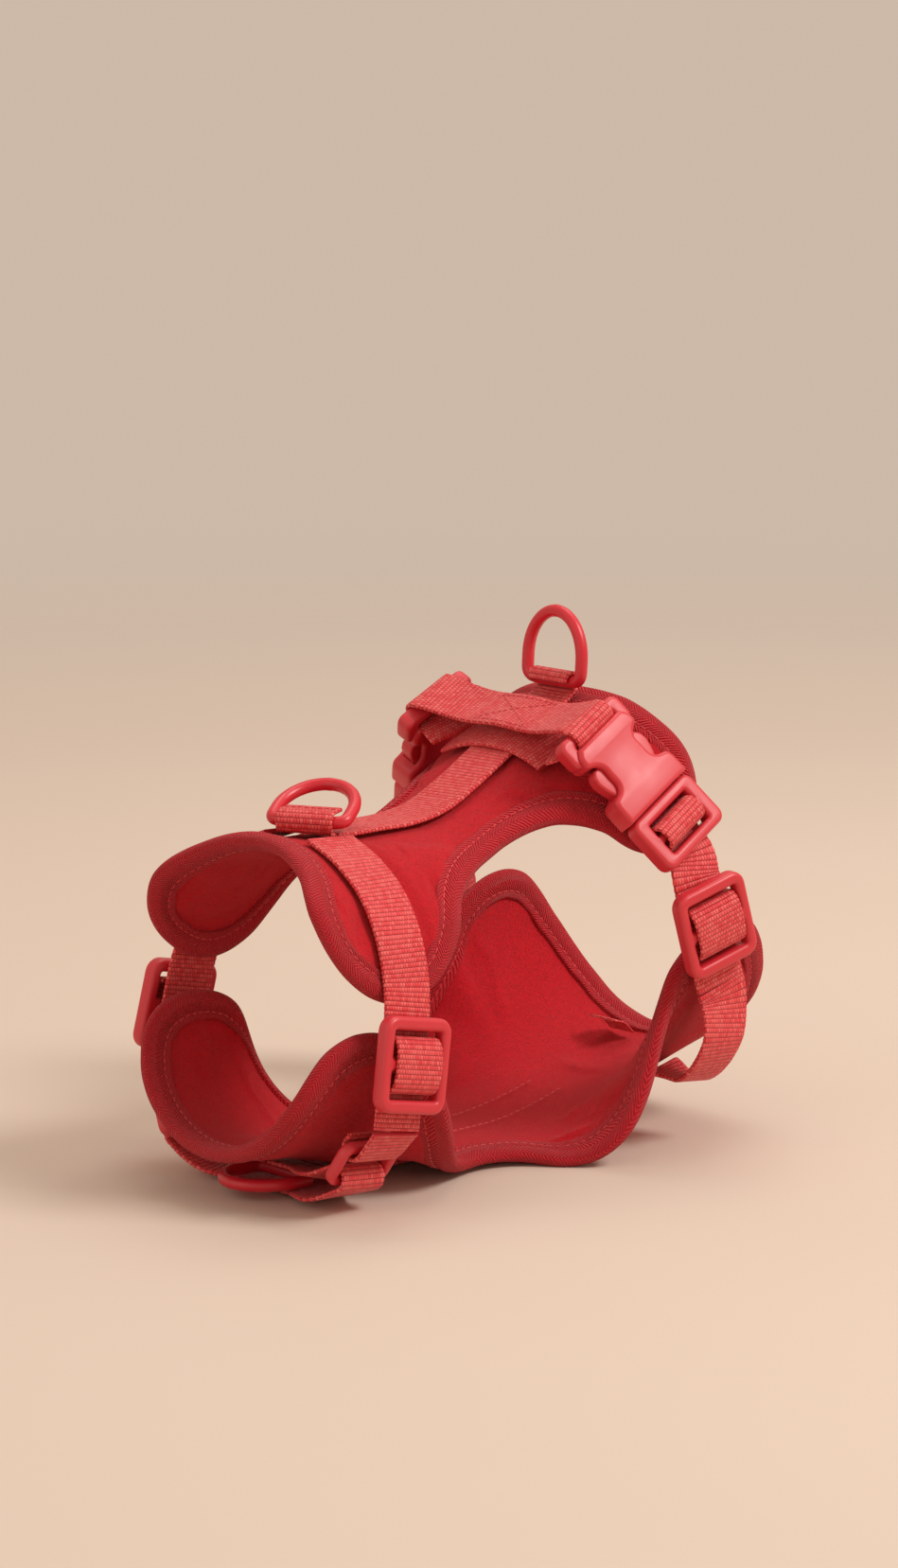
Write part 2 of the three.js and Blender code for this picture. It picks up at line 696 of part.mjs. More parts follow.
/** The axes of the neck slide of one side. */
function neckSlideFrame(side) {
  return placedFrame(onSide(side, -60, 60.5, 52), onSide(side, -0.2, 0.08, -0.98), onSide(side, 0, 1, 0));
}

/** The axes of the chest loop of one side, its y axis running down to the chest strap. */
function chestLoopFrame(side) {
  return placedFrame(onSide(side, -67, 44.5, 17.5), onSide(side, -0.15, -0.5, -0.85), onSide(side, 0, 0.85, -0.5));
}

/** The plug's own axes: the buckle's, moved to the root of the plug. */
function plugFrame(side) {
  const frame = buckleFrame(side);
  const origin = frame.localToWorld(vec(0, PLUG_FROM, 0));
  frame.position.copy(origin);
  frame.updateMatrixWorld(true);
  return frame;
}

/** Socket, plug and prongs of one buckle. */
function buckle(side, hand) {
  const socket = buckleFrame(side);
  socket.add(named(`${hand}_buckle_socket`, socketGeometry(), plastic));
  const plug = plugFrame(side);
  plug.add(named(`${hand}_buckle_plug`, plugFrameGeometry(), plastic));
  const fold = new THREE.Group();
  fold.position.y = PLUG_LENGTH - PLUG_END_BAR - PLUG_WINDOW_LENGTH / 2;
  fold.add(foldOverBar(`${hand}_plug_webbing`, 4.1, 5.2, -2.6));
  plug.add(fold);
  for (const [edge, sign] of [['first', 1], ['second', -1]]) {
    const hinge = new THREE.Group();
    hinge.position.set(sign * PRONG_HINGE, -PRONG_HINGE_DROP, 0);
    hinge.add(named(`${hand}_buckle_${edge}_prong`, prongGeometry(sign), plastic));
    plug.add(hinge);
  }
  return [socket, plug];
}

/** The neck strap of one side, from the front ring over the shoulder lobe to the slide. */
function neckStrap(side, hand) {
  const slide = neckSlideFrame(side);
  const stations = [
    [-52, 13],
    [-53, 26],
    [-53, 40],
    [-54, 54],
    [-55, 68],
  ].map(([x, q]) => ({
    at: backSheet.at(x, side * q, OVER_BINDING),
    out: backSheet.outward(x, side * q),
  }));
  for (const y of [-16, 0, 22]) {
    stations.push(stationIn(slide, 0, y, -SLIDE_STRAP_DEPTH));
  }
  return named(`${hand}_neck_strap`, ribbon(stations, 34), webbing);
}

/** The end of a neck strap: from below the slide, round the chest loop and up inside. */
function neckStrapEnd(side, hand) {
  const slide = neckSlideFrame(side);
  const loop = chestLoopFrame(side);
  const start = stationIn(slide, 0, 23.4, -SLIDE_STRAP_DEPTH);
  const tail = stationIn(loop, 0, -2 * LOOP_BAR_Y + 4, -LOOP_BAR_WRAP);
  tail.out.negate();
  const stations = [start, ...wrapRound(loop, -LOOP_BAR_Y, LOOP_BAR_WRAP, start.at).reverse(), tail];
  return named(`${hand}_neck_strap_end`, ribbon(stations, 24), webbing);
}

/** The girth strap of one side between the plug and the belly, straight behind the slide. */
function girthSideStrap(side, hand) {
  const slide = girthSlideFrame(side);
  const plug = plugFrame(side);
  const depth = -(PLUG_THICKNESS / 2 + 3 * GAP + WEBBING_THICKNESS / 2);
  const stations = [
    stationIn(plug, 0, 6, depth),
    stationIn(plug, 0, PLUG_LENGTH, depth),
    stationIn(slide, 0, -16, -SLIDE_STRAP_DEPTH),
    stationIn(slide, 0, 0, -SLIDE_STRAP_DEPTH),
    stationIn(slide, 0, 24, -SLIDE_STRAP_DEPTH),
  ];
  return named(`${hand}_girth_strap`, ribbon(stations, 22), webbing);
}

/** The end of the girth strap of one side, from below the slide to the side of the belly. */
function girthLowerStrap(side, hand) {
  const slide = girthSlideFrame(side);
  const stations = [
    stationIn(slide, 0, 24.4, -SLIDE_STRAP_DEPTH),
    stationIn(slide, 0, 30, -SLIDE_STRAP_DEPTH),
    { at: onSide(side, 82, 66, 38), out: onSide(side, 0, 0.95, -0.3) },
    { at: onSide(side, 80, 54, 22.5), out: onSide(side, 0, 0.7, -0.7) },
    { at: chestSheet.at(76, side * 43, OVER_BINDING + 1), out: chestSheet.outward(76, side * 43) },
  ];
  return named(`${hand}_girth_strap_end`, ribbon(stations, 16), webbing);
}

/** Everything that comes once on each side. */
function sidePieces({ side, hand }) {
  const loop = chestLoopFrame(side);
  loop.add(chestLoop(`${hand}_chest_loop`));
  return [
    ...buckle(side, hand),
    slide(girthSlideFrame(side), `${hand}_girth_slide`),
    slide(neckSlideFrame(side), `${hand}_neck_slide`),
    loop,
    neckStrap(side, hand),
    neckStrapEnd(side, hand),
    girthSideStrap(side, hand),
    girthLowerStrap(side, hand),
  ];
}

// ---------------------------------------------------------------- straps across the body

/** The girth strap across the back: it folds round both socket bars and returns beneath. */
function girthTopStrap() {
  const out = vec(-0.4, 0, 0.92);
  const top = (y) => ({ at: vec(46.5, y + LOIN_SHIFT, 150.3 - Math.abs(y) / 30), out });
  const half = (side) => {
    const under = backSheet.at(46, side * 23, ON_PANEL + 2 * WEBBING_PITCH);
    const fold = wrapRound(buckleFrame(side), SOCKET_BAR_CENTRE, SOCKET_BAR_WRAP, top(0).at);
    return [{ at: under, out: out.clone().negate() }, ...fold];
  };
  const stations = [...half(-1), top(-18), top(0), top(18), ...half(1).reverse()];
  return named('girth_top_strap', ribbon(stations, 64), webbing);
}

/** The girth strap under the belly, sewn across the chest panel between its two wings. */
function girthBellyStrap() {
  const stations = [-40, -27, -13, 0, 13, 27, 40].map((q) => ({
    at: chestSheet.at(76, q, OVER_BINDING + 1),
    out: chestSheet.outward(76, q),
  }));
  return named('girth_belly_strap', ribbon(stations, 14), webbing);
}

/**
 * The strap across the chest. Its two layers hold the bar of the chest ring between them,
 * and it folds round the lower bar of the loop at each end.
 */
function chestStrap() {
  const bent = (y, z) => {
    const beyond = Math.max(0, Math.abs(y) - 15);
    return vec(CHEST_RING_X - 0.45 * beyond, y, z + beyond / 8);
  };
  const lower = (y) => ({ at: bent(y, 1), out: vec(0, 0, -1) });
  const upper = (y) => ({ at: bent(y, 7.5), out: vec(0.25, 0, 0.97) });
  const fold = (side) => wrapRound(chestLoopFrame(side), LOOP_BAR_Y, LOOP_BAR_WRAP, lower(0).at);
  const stations = [upper(-1), upper(-14), upper(-28), ...fold(-1).reverse()];
  stations.push(lower(-28), lower(-14), lower(0), lower(14), lower(28));
  stations.push(...fold(1), upper(28), upper(14), upper(1));
  return named('chest_strap', ribbon(stations, 72), webbing);
}

// ---------------------------------------------------------------- assembly

const harness = new THREE.Group();
harness.add(...panels());
harness.add(ring('front_ring', frontRingPivot, FRONT_RING_YAW, FRONT_RING_LEAN));
harness.add(ring('rear_ring', rearRingPivot, REAR_RING_YAW, REAR_RING_LEAN));
harness.add(ring('chest_ring', chestRingPivot, 0, CHEST_RING_LEAN));
harness.add(spineStrap(), rearRingLoop(), bellyStrap(), blankLabel());
harness.add(girthTopStrap(), girthBellyStrap(), chestStrap());
for (const place of SIDES) {
  harness.add(...sidePieces(place));
}

// Stand the harness on z = 0 with the middle of its box over the origin.
const box = new THREE.Box3().setFromObject(harness, true);
const centre = box.getCenter(vec(0, 0, 0));
harness.position.set(-centre.x, -centre.y, -box.min.z);

export default harness;
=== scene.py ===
"""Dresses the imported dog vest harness: padded panels, bindings, webbing, buckles and rings.

Lengths are millimetres in the harness's own axes, as in the part: the dog's head towards -X,
its left side towards -Y, +Z up. They become metres in the row frame when a mesh is made.
"""

import logging
import math
from dataclasses import dataclass, field
from enum import Enum
from typing import Callable, Iterable, Sequence

import bpy
import numpy as np
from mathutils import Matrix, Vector


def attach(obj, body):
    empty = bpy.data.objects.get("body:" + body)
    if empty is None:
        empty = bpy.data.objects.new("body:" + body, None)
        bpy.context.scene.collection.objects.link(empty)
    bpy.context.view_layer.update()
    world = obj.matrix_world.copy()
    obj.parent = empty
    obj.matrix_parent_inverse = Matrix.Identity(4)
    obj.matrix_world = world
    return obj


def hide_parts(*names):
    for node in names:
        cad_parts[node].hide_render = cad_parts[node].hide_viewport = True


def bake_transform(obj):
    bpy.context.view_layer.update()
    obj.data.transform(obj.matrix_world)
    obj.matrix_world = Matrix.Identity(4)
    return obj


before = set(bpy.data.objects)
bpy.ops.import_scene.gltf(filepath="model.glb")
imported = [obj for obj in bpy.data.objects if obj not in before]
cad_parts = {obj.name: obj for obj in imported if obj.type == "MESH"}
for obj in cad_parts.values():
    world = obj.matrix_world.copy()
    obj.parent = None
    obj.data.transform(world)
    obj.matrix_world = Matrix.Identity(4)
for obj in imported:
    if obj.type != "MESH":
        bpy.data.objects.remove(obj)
LOG = logging.getLogger("harness")
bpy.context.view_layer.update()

Array = np.ndarray
Point = Sequence[float]
Station = tuple[Array, Array]

STANDING = np.array([-11.701, 0.0, 0.947])
GAP = 0.3
WEBBING_WIDTH = 20.0
WEBBING_THICKNESS = 1.5
PANEL_THICKNESS = 4.0
BINDING_THICKNESS = 6.0
ON_PANEL = PANEL_THICKNESS / 2 + GAP + WEBBING_THICKNESS / 2
OVER_BINDING = BINDING_THICKNESS / 2 + 2 * GAP + WEBBING_THICKNESS / 2
LOIN_SHIFT = 3.0
RUMP_LIFT = 9.0


class Hand(Enum):
    """A side of the dog, with the sign of its Y."""

    LEFT = -1
    RIGHT = 1

    @property
    def word(self) -> str:
        """The side's name as the nodes spell it."""
        return self.name.lower()

    def flip(self, x: float, y: float, z: float) -> Array:
        """A vector given for the right side, turned to this side."""
        return np.array([x, self.value * y, z], float)


# ------------------------------------------------------------------ small geometry tools


def unit(v: Array) -> Array:
    """Vectors scaled to length one."""
    return v / np.maximum(np.linalg.norm(v, axis=-1, keepdims=True), 1e-9)


def smoothstep(x: float | Array, low: float, high: float) -> float | Array:
    """Zero below low, one above high and a smooth rise between them."""
    t = np.clip((np.asarray(x, float) - low) / (high - low), 0, 1)
    return t * t * (3 - 2 * t)


def spline(points: Iterable[Point], per_span: int, closed: bool = False) -> Array:
    """A smooth curve through points.

    Args:
        points: the points it passes through.
        per_span: how many samples each stretch between two points gets.
        closed: whether the last point joins the first.

    Returns:
        The samples, one row each.
    """
    pts = np.array(list(points), float)
    count = len(pts)
    rows = []
    for i in range(count if closed else count - 1):
        p1, p2 = pts[i], pts[(i + 1) % count]
        p0 = pts[i - 1] if closed or i > 0 else 2 * p1 - p2
        p3 = pts[(i + 2) % count] if closed or i + 2 < count else 2 * p2 - p1
        d0, d1, d2 = (max(np.linalg.norm(b - a) ** 0.5, 1e-3)
                      for a, b in ((p0, p1), (p1, p2), (p2, p3)))
        m1 = ((p1 - p0) / d0 - (p2 - p0) / (d0 + d1) + (p2 - p1) / d1) * d1
        m2 = ((p2 - p1) / d1 - (p3 - p1) / (d1 + d2) + (p3 - p2) / d2) * d1
        t = np.linspace(0, 1, per_span, endpoint=False)[:, None]
        rows.append(p1 + m1 * t + (3 * (p2 - p1) - 2 * m1 - m2) * t**2
                    + (2 * (p1 - p2) + m1 + m2) * t**3)
    if not closed:
        rows.append(pts[-1:])
    return np.concatenate(rows)


def lengths(points: Array) -> Array:
    """The distance along a polyline at each of its points."""
    return np.concatenate([[0.0], np.cumsum(np.linalg.norm(np.diff(points, axis=0), axis=1))])


def resample(points: Array, step: float) -> tuple[Array, Array]:
    """Even steps along a polyline.

    Args:
        points: the polyline, one row each.
        step: the wanted distance between samples.

    Returns:
        The samples, and how far along the polyline each one is.
    """
    s = lengths(points[:, :3])
    even = np.linspace(0, s[-1], max(2, int(round(s[-1] / step)) + 1))
    return np.stack([np.interp(even, s, points[:, i]) for i in range(points.shape[1])],
                    axis=1), even


def slopes(points: Array, closed: bool = False) -> Array:
    """Unit directions along a polyline."""
    if closed:
        return unit(np.roll(points, -1, axis=0) - np.roll(points, 1, axis=0))
    return unit(np.gradient(points, axis=0))


def rounded_rectangle(centre_y: float, width: float, length: float, radius: float,
                      arc: int = 6) -> Array:
    """The outline of a round-cornered rectangle centred on x = 0."""
    corners = ((1, -1, -90), (1, 1, 0), (-1, 1, 90), (-1, -1, 180))
    rows = []
    for sx, sy, start in corners:
        middle = np.array([sx * (width / 2 - radius), centre_y + sy * (length / 2 - radius)])
        for k in range(arc + 1):
            turn = math.radians(start + 90 * k / arc)
            rows.append(middle + radius * np.array([math.cos(turn), math.sin(turn)]))
    return np.array(rows)


def make_mesh(name: str, points: Array, faces: list[Sequence[int]], uvs: list[Point] | None = None,
              smooth_angle: float = 50) -> bpy.types.Object:
    """Turns points and faces in the harness's axes into an object in the row frame.

    Args:
        name: the piece's name.
        points: corners in millimetres.
        faces: corner numbers of each face.
        uvs: one pair for each corner of each face, in order, or nothing.
        smooth_angle: the sharpest bend in degrees that is still shaded smoothly.

    Returns:
        The new object, linked to the scene.
    """
    mesh = bpy.data.meshes.new(name)
    mesh.from_pydata(((np.asarray(points) + STANDING) * 0.001).tolist(), [], faces)
    if uvs is not None:
        layer = mesh.uv_layers.new(name="cut")
        layer.data.foreach_set("uv", np.asarray(uvs, np.float32).ravel())
    mesh.polygons.foreach_set("use_smooth", [True] * len(mesh.polygons))
    mesh.set_sharp_from_angle(angle=math.radians(smooth_angle))
    mesh.validate()
    mesh.update()
    piece = bpy.data.objects.new(name, mesh)
    bpy.context.scene.collection.objects.link(piece)
    return piece


def tube_faces(rings: int, sides: int, looped: bool, first: int = 0) -> list[tuple[int, ...]]:
    """The faces of a tube whose corners are numbered ring by ring, capped unless looped."""
    faces = []
    for i in range(rings if looped else rings - 1):
        a, b = first + i * sides, first + ((i + 1) % rings) * sides
        faces += [(a + j, a + (j + 1) % sides, b + (j + 1) % sides, b + j) for j in range(sides)]
    if not looped:
        faces.append(tuple(first + j for j in reversed(range(sides))))
        faces.append(tuple(first + (rings - 1) * sides + j for j in range(sides)))
    return faces


def tube_uvs(along: Array, around: Array, looped: bool) -> list[Point]:
    """The cut coordinates for tube_faces.

    Args:
        along: the distance along the tube of each ring, with one more value if looped.
        around: the distance round the section of each corner, with one more value to close it.
        looped: whether the tube joins its own start.

    Returns:
        One pair for each corner of each face.
    """
    sides = len(around) - 1
    rings = len(along) - 1 if looped else len(along)
    pairs = []
    for i in range(rings if looped else rings - 1):
        a, b = along[i], along[i + 1]
        for j in range(sides):
            pairs += [(a, around[j]), (a, around[j + 1]), (b, around[j + 1]), (b, around[j])]
    if not looped:
        pairs += [(along[0], around[j]) for j in reversed(range(sides))]
        pairs += [(along[-1], around[j]) for j in range(sides)]
    return pairs


@dataclass(frozen=True)
class Placement:
    """A spot on the harness: y runs along the strap there and z faces outwards."""

    origin: Array
    x: Array
    y: Array
    z: Array

    @classmethod
    def along(cls, origin: Array, direction: Array, facing: Array) -> "Placement":
        """A placement from its origin, the strap's direction and roughly where it faces."""
        y = unit(np.asarray(direction, float))
        x = unit(np.cross(y, facing))
        return cls(np.asarray(origin, float), x, y, np.cross(x, y))

    def world(self, points: Array) -> Array:
        """Points given in these axes, in the harness's axes."""
        p = np.asarray(points, float)
        return self.origin + p[..., 0:1] * self.x + p[..., 1:2] * self.y + p[..., 2:3] * self.z

    def station(self, x: float, y: float, z: float) -> Station:
        """A station of a strap that faces outwards here."""
        return self.world(np.array([x, y, z])), self.z

    def wrap(self, bar_y: float, radius: float, towards: Array) -> list[Station]:
        """Stations half way round a bar, inner side first, whose ends leave towards a point."""
        centre = self.world(np.array([0, bar_y, 0]))
        away = np.asarray(towards) - centre
        heading = math.atan2(away @ self.z, away @ self.y)
        rows = []
        for degrees in (90, 120, 150, 180, 210, 240, 270):
            turn = heading + math.radians(degrees)
            out = math.cos(turn) * self.y + math.sin(turn) * self.z
            rows.append((centre + radius * out, out))
        return rows


def buckle_place(hand: Hand) -> Placement:
    """Where the webbing bar of a buckle's socket is."""
    origin = np.array([45, hand.value * 38.5 + LOIN_SHIFT, 149])
    return Placement.along(origin, hand.flip(0.44, 0.52, -0.73), hand.flip(-0.19, 0.85, 0.49))


def girth_slide_place(hand: Hand) -> Placement:
    """Where the middle bar of a girth slide is."""
    return Placement.along(hand.flip(74, 69, 81), hand.flip(0.3, 0, -0.95),
                           hand.flip(-0.15, 0.98, 0))


def neck_slide_place(hand: Hand) -> Placement:
    """Where the middle bar of a neck slide is."""
    return Placement.along(hand.flip(-60, 60.5, 52), hand.flip(-0.2, 0.08, -0.98),
                           hand.flip(0, 1, 0))


def chest_loop_place(hand: Hand) -> Placement:
    """Where the middle of a chest loop is."""
    return Placement.along(hand.flip(-67, 44.5, 17.5), hand.flip(-0.15, -0.5, -0.85),
                           hand.flip(0, 0.85, -0.5))


# ------------------------------------------------------------------ finishes


class NodeBoard:
    """The shader nodes of one material, added and wired by name."""

    def __init__(self, name: str, **surface: float) -> None:
        """Starts a material.

        Args:
            name: the material's name.
            surface: values for the surface shader's own sockets, underscores for spaces.
        """
        self.material = bpy.data.materials.new(name)
        self.material.use_nodes = True
        self.tree = self.material.node_tree
        self.surface = self.tree.nodes["Principled BSDF"]
        for key, value in surface.items():
            self.surface.inputs[key.replace("_", " ")].default_value = value

    def add(self, kind: str, inputs: dict | None = None, **settings: object) -> bpy.types.Node:
        """Adds a node.

        Args:
            kind: the node's type without its ShaderNode prefix.
            inputs: socket name or number to a value or to another node's output.
            settings: properties of the node itself.

        Returns:
            The node.
        """
        node = self.tree.nodes.new("ShaderNode" + kind)
        for key, value in settings.items():
            setattr(node, key, value)
        for key, value in (inputs or {}).items():
            socket = node.inputs[key]
            if isinstance(value, bpy.types.NodeSocket):
                self.tree.links.new(value, socket)
            else:
                socket.default_value = value
        return node

    def maths(self, operation: str, a: object, b: object = 0.0) -> bpy.types.NodeSocket:
        """The result of a sum on two numbers or sockets."""
        return self.add("Math", {0: a, 1: b}, operation=operation).outputs[0]

    def blend(self, share: object, a: object, b: object) -> bpy.types.NodeSocket:
        """A colour between two colours."""
        node = self.add("Mix", {0: share, 6: a, 7: b}, data_type="RGBA")
        return node.outputs[2]

    def noise(self, where: object, scale: float, detail: float = 2,
              distortion: float = 0) -> bpy.types.NodeSocket:
        """The value of a noise pattern."""
        inputs = {"Vector": where, "Scale": scale, "Detail": detail, "Distortion": distortion}
        return self.add("TexNoise", inputs).outputs[0]

    def finish(self, colour: object, height: object, depth: float, strength: float,
               rough: object = None) -> bpy.types.Material:
        """Wires the colour, the relief and the roughness to the surface.

        Args:
            colour: the base colour.
            height: the relief, from 0 to 1.
            depth: how deep the relief is, in metres.
            strength: how strongly the relief shades.
            rough: the roughness, or nothing to keep the surface's own.

        Returns:
            The material.
        """
        bump = self.add("Bump", {"Height": height, "Distance": depth, "Strength": strength})
        links = self.tree.links
        links.new(colour, self.surface.inputs["Base Color"])
        links.new(bump.outputs[0], self.surface.inputs["Normal"])
        if rough is not None:
            links.new(rough, self.surface.inputs["Roughness"])
        return self.material


Colour = tuple[float, float, float, float]


@dataclass(frozen=True)
class WovenWebbing:
    """Ribbed polyester webbing: rows of short floats across the strap, offset row by row, with a
    painted highlight on some floats and painted shade in the gaps between them.
    """

    name: str = "ribbed_webbing"
    float_colour: Colour = (0.80, 0.036, 0.048, 1)
    # The paler pink that the brick pattern gives to some floats at random is a painted highlight.
    float_highlight: Colour = (0.95, 0.165, 0.155, 1)
    # The dark red of the gaps between the floats is painted shade.
    gap_shade: Colour = (0.34, 0.002, 0.009, 1)
    float_pitch: float = 1.15
    rib_pitch: float = 1.6

    def make(self) -> bpy.types.Material:
        """Builds the material; its cut coordinates are millimetres along and across."""
        board = NodeBoard(self.name, Roughness=0.5, Sheen_Weight=0.1, Sheen_Roughness=0.4,
                          Specular_IOR_Level=0.4)
        cut = board.add("UVMap", uv_map="cut").outputs[0]
        parts = board.add("SeparateXYZ", {0: cut})
        across = board.add("CombineXYZ",
                           {0: parts.outputs[1], 1: parts.outputs[0], 2: 0.0}).outputs[0]
        # The floats take the float colour and, at random, the painted highlight; the gaps between them
        # take the painted shade.
        rows = board.add(
            "TexBrick",
            {"Vector": across, "Color1": self.float_colour, "Color2": self.float_highlight,
             "Mortar": self.gap_shade, "Mortar Size": 0.14, "Mortar Smooth": 0.6,
             "Scale": 1.0, "Bias": 0.0, "Brick Width": self.float_pitch, "Row Height": self.rib_pitch},
            offset=0.5,
        )
        phase = board.maths("MULTIPLY", parts.outputs[0], math.pi / self.rib_pitch)
        crown = board.maths("ABSOLUTE", board.maths("SINE", phase))
        strands = board.noise(across, 5.0, 3)
        shade = board.noise(cut, 0.06, 2)
        lit = board.blend(board.maths("MULTIPLY", strands, 0.35), rows.outputs[0],
                          self.float_colour)
        # Faint large random darkening towards the dark gap colour; the result holds the painted
        # highlights and the painted shade.
        painted_light_mottled = board.blend(board.maths("MULTIPLY", shade, 0.18), lit, self.gap_shade)
        rounded = board.maths("ADD", crown, board.maths("MULTIPLY", strands, 0.25))
        height = board.maths("SUBTRACT", rounded, rows.outputs[1])
        rough = board.maths("MULTIPLY_ADD", strands, 0.25)
        rough.node.inputs[2].default_value = 0.4
        return board.finish(painted_light_mottled, height, 0.0004, 0.7, rough)


@dataclass(frozen=True)
class PaddedCloth:
    """The knitted face fabric of the panels, with a fine wandering relief and painted shade in the
    furrows of that relief.
    """

    name: str = "padded_cloth"
    colour: Colour = (0.56, 0.003, 0.012, 1)
    light: Colour = (0.68, 0.010, 0.022, 1)
    # The dark furrow colour is painted shade for the furrows of the relief.
    furrow_shade: Colour = (0.34, 0.002, 0.008, 1)

    def make(self) -> bpy.types.Material:
        """Builds the material; its cut coordinates are millimetres on the flat cloth."""
        board = NodeBoard(self.name, Roughness=0.85, Sheen_Weight=0.1, Sheen_Roughness=0.4,
                          Specular_IOR_Level=0.2)
        cut = board.add("UVMap", uv_map="cut").outputs[0]
        worms = board.noise(cut, 0.62, 2, 2.2)
        ridge = board.maths("ABSOLUTE", board.maths("SUBTRACT", worms, 0.5))
        fibre = board.noise(cut, 4.5, 3)
        cloud = board.noise(cut, 0.05, 3)
        colour = board.blend(board.maths("MULTIPLY_ADD", fibre, 0.5), self.colour, self.light)
        # Painted shade: the colour darkens towards the furrow colour where the relief sinks into
        # furrows; the cloud blend after it is random tone.
        shaded = board.blend(board.maths("MULTIPLY", ridge, 1.3), colour, self.furrow_shade)
        shaded_and_clouded = board.blend(board.maths("MULTIPLY", cloud, 0.35), shaded, self.colour)
        height = board.maths("ADD", board.maths("MULTIPLY", ridge, -1.6),
                             board.maths("MULTIPLY", fibre, 0.5))
        rough = board.maths("ADD", board.maths("MULTIPLY", fibre, 0.2), 0.72)
        return board.finish(shaded_and_clouded, height, 0.0007, 1.0, rough)


@dataclass(frozen=True)
class HerringboneTape:
    """The folded tape round the panels: fine diagonal ribs that turn back every few millimetres,
    painted paler on their crests as a highlight.
    """

    name: str = "herringbone_tape"
    colour: Colour = (0.50, 0.004, 0.014, 1)
    # The paler colour is a painted highlight on the rib crests, spread also at random by the fibre
    # noise.
    light: Colour = (0.70, 0.022, 0.036, 1)
    rib_pitch: float = 1.25
    chevron: float = 3.6

    def make(self) -> bpy.types.Material:
        """Builds the material; its cut coordinates are millimetres along and round the tape."""
        board = NodeBoard(self.name, Roughness=0.8, Sheen_Weight=0.1, Sheen_Roughness=0.4,
                          Specular_IOR_Level=0.25)
        cut = board.add("UVMap", uv_map="cut").outputs[0]
        parts = board.add("SeparateXYZ", {0: cut})
        wander = board.maths("MULTIPLY", board.noise(cut, 0.35, 2), 1.5)
        zigzag = board.maths("PINGPONG", parts.outputs[1], self.chevron)
        phase = board.maths("ADD", board.maths("ADD", parts.outputs[0], zigzag), wander)
        rib = board.maths("SINE", board.maths("MULTIPLY", phase, 2 * math.pi / self.rib_pitch))
        fibre = board.noise(cut, 4.0, 3)
        # Painted light: the colour pales on the rib crests and darkens in the troughs, with the ribs
        # of the relief; the fibre noise adds random tone.
        share = board.maths("ADD", board.maths("MULTIPLY", rib, 0.4),
                            board.maths("MULTIPLY", fibre, 0.8))
        colour = board.blend(share, self.colour, self.light)
        height = board.maths("ADD", rib, fibre)
        rough = board.maths("ADD", board.maths("MULTIPLY", fibre, 0.2), 0.66)
        return board.finish(colour, height, 0.0004, 0.9, rough)


@dataclass(frozen=True)
class MouldedPlastic:
    """Satin moulded plastic, painted a little paler on its sharp edges as a highlight, with faint
    random clouds of the same paler colour.
    """

    name: str = "moulded_plastic"
    colour: Colour = (0.60, 0.020, 0.034, 1)
    # The paler edge colour is a painted highlight.
    edge_highlight: Colour = (0.74, 0.075, 0.088, 1)
    gloss: float = 0.36

    def make(self) -> bpy.types.Material:
        """Builds the material from the piece's own coordinates."""
        board = NodeBoard(self.name, Roughness=self.gloss, Specular_IOR_Level=0.5,
                          Coat_Weight=0.06, Coat_Roughness=0.3)
        where = board.add("TexCoord").outputs["Object"]
        grain = board.noise(where, 2600, 2)
        cloud = board.noise(where, 90, 3)
        pointed = board.add("NewGeometry").outputs["Pointiness"]
        # Painted highlight: sharp convex edges, found by pointiness, turn towards the paler edge
        # colour; the faint cloud adds random tone.
        edge = board.maths("MULTIPLY", board.maths("SUBTRACT", pointed, 0.5), 5.0)
        share = board.maths("MAXIMUM", board.maths("MINIMUM", edge, 0.55),
                            board.maths("MULTIPLY", cloud, 0.16))
        colour = board.blend(share, self.colour, self.edge_highlight)
        rough = board.maths("ADD", board.maths("MULTIPLY", cloud, 0.22), self.gloss - 0.05)
        height = board.maths("ADD", grain, board.maths("MULTIPLY", cloud, 0.6))
        return board.finish(colour, height, 0.00006, 0.35, rough)


# The ring coating takes the same painted edge highlight.
RING_COATING = MouldedPlastic(
    "ring_coating", colour=(0.62, 0.014, 0.030, 1), edge_highlight=(0.72, 0.055, 0.07, 1), gloss=0.3)


@dataclass(frozen=True)
class SewingThread:
    """Twisted sewing thread in the colour of the cloth."""

    name: str = "sewing_thread"
    colour: Colour = (0.48, 0.006, 0.016, 1)
    light: Colour = (0.78, 0.050, 0.060, 1)

    def make(self) -> bpy.types.Material:
        """Builds the material from the piece's own coordinates."""
        board = NodeBoard(self.name, Roughness=0.55, Sheen_Weight=0.3)
        where = board.add("TexCoord").outputs["Object"]
        twist = board.noise(where, 2400, 2)
        colour = board.blend(twist, self.colour, self.light)
        return board.finish(colour, twist, 0.0001, 0.5)


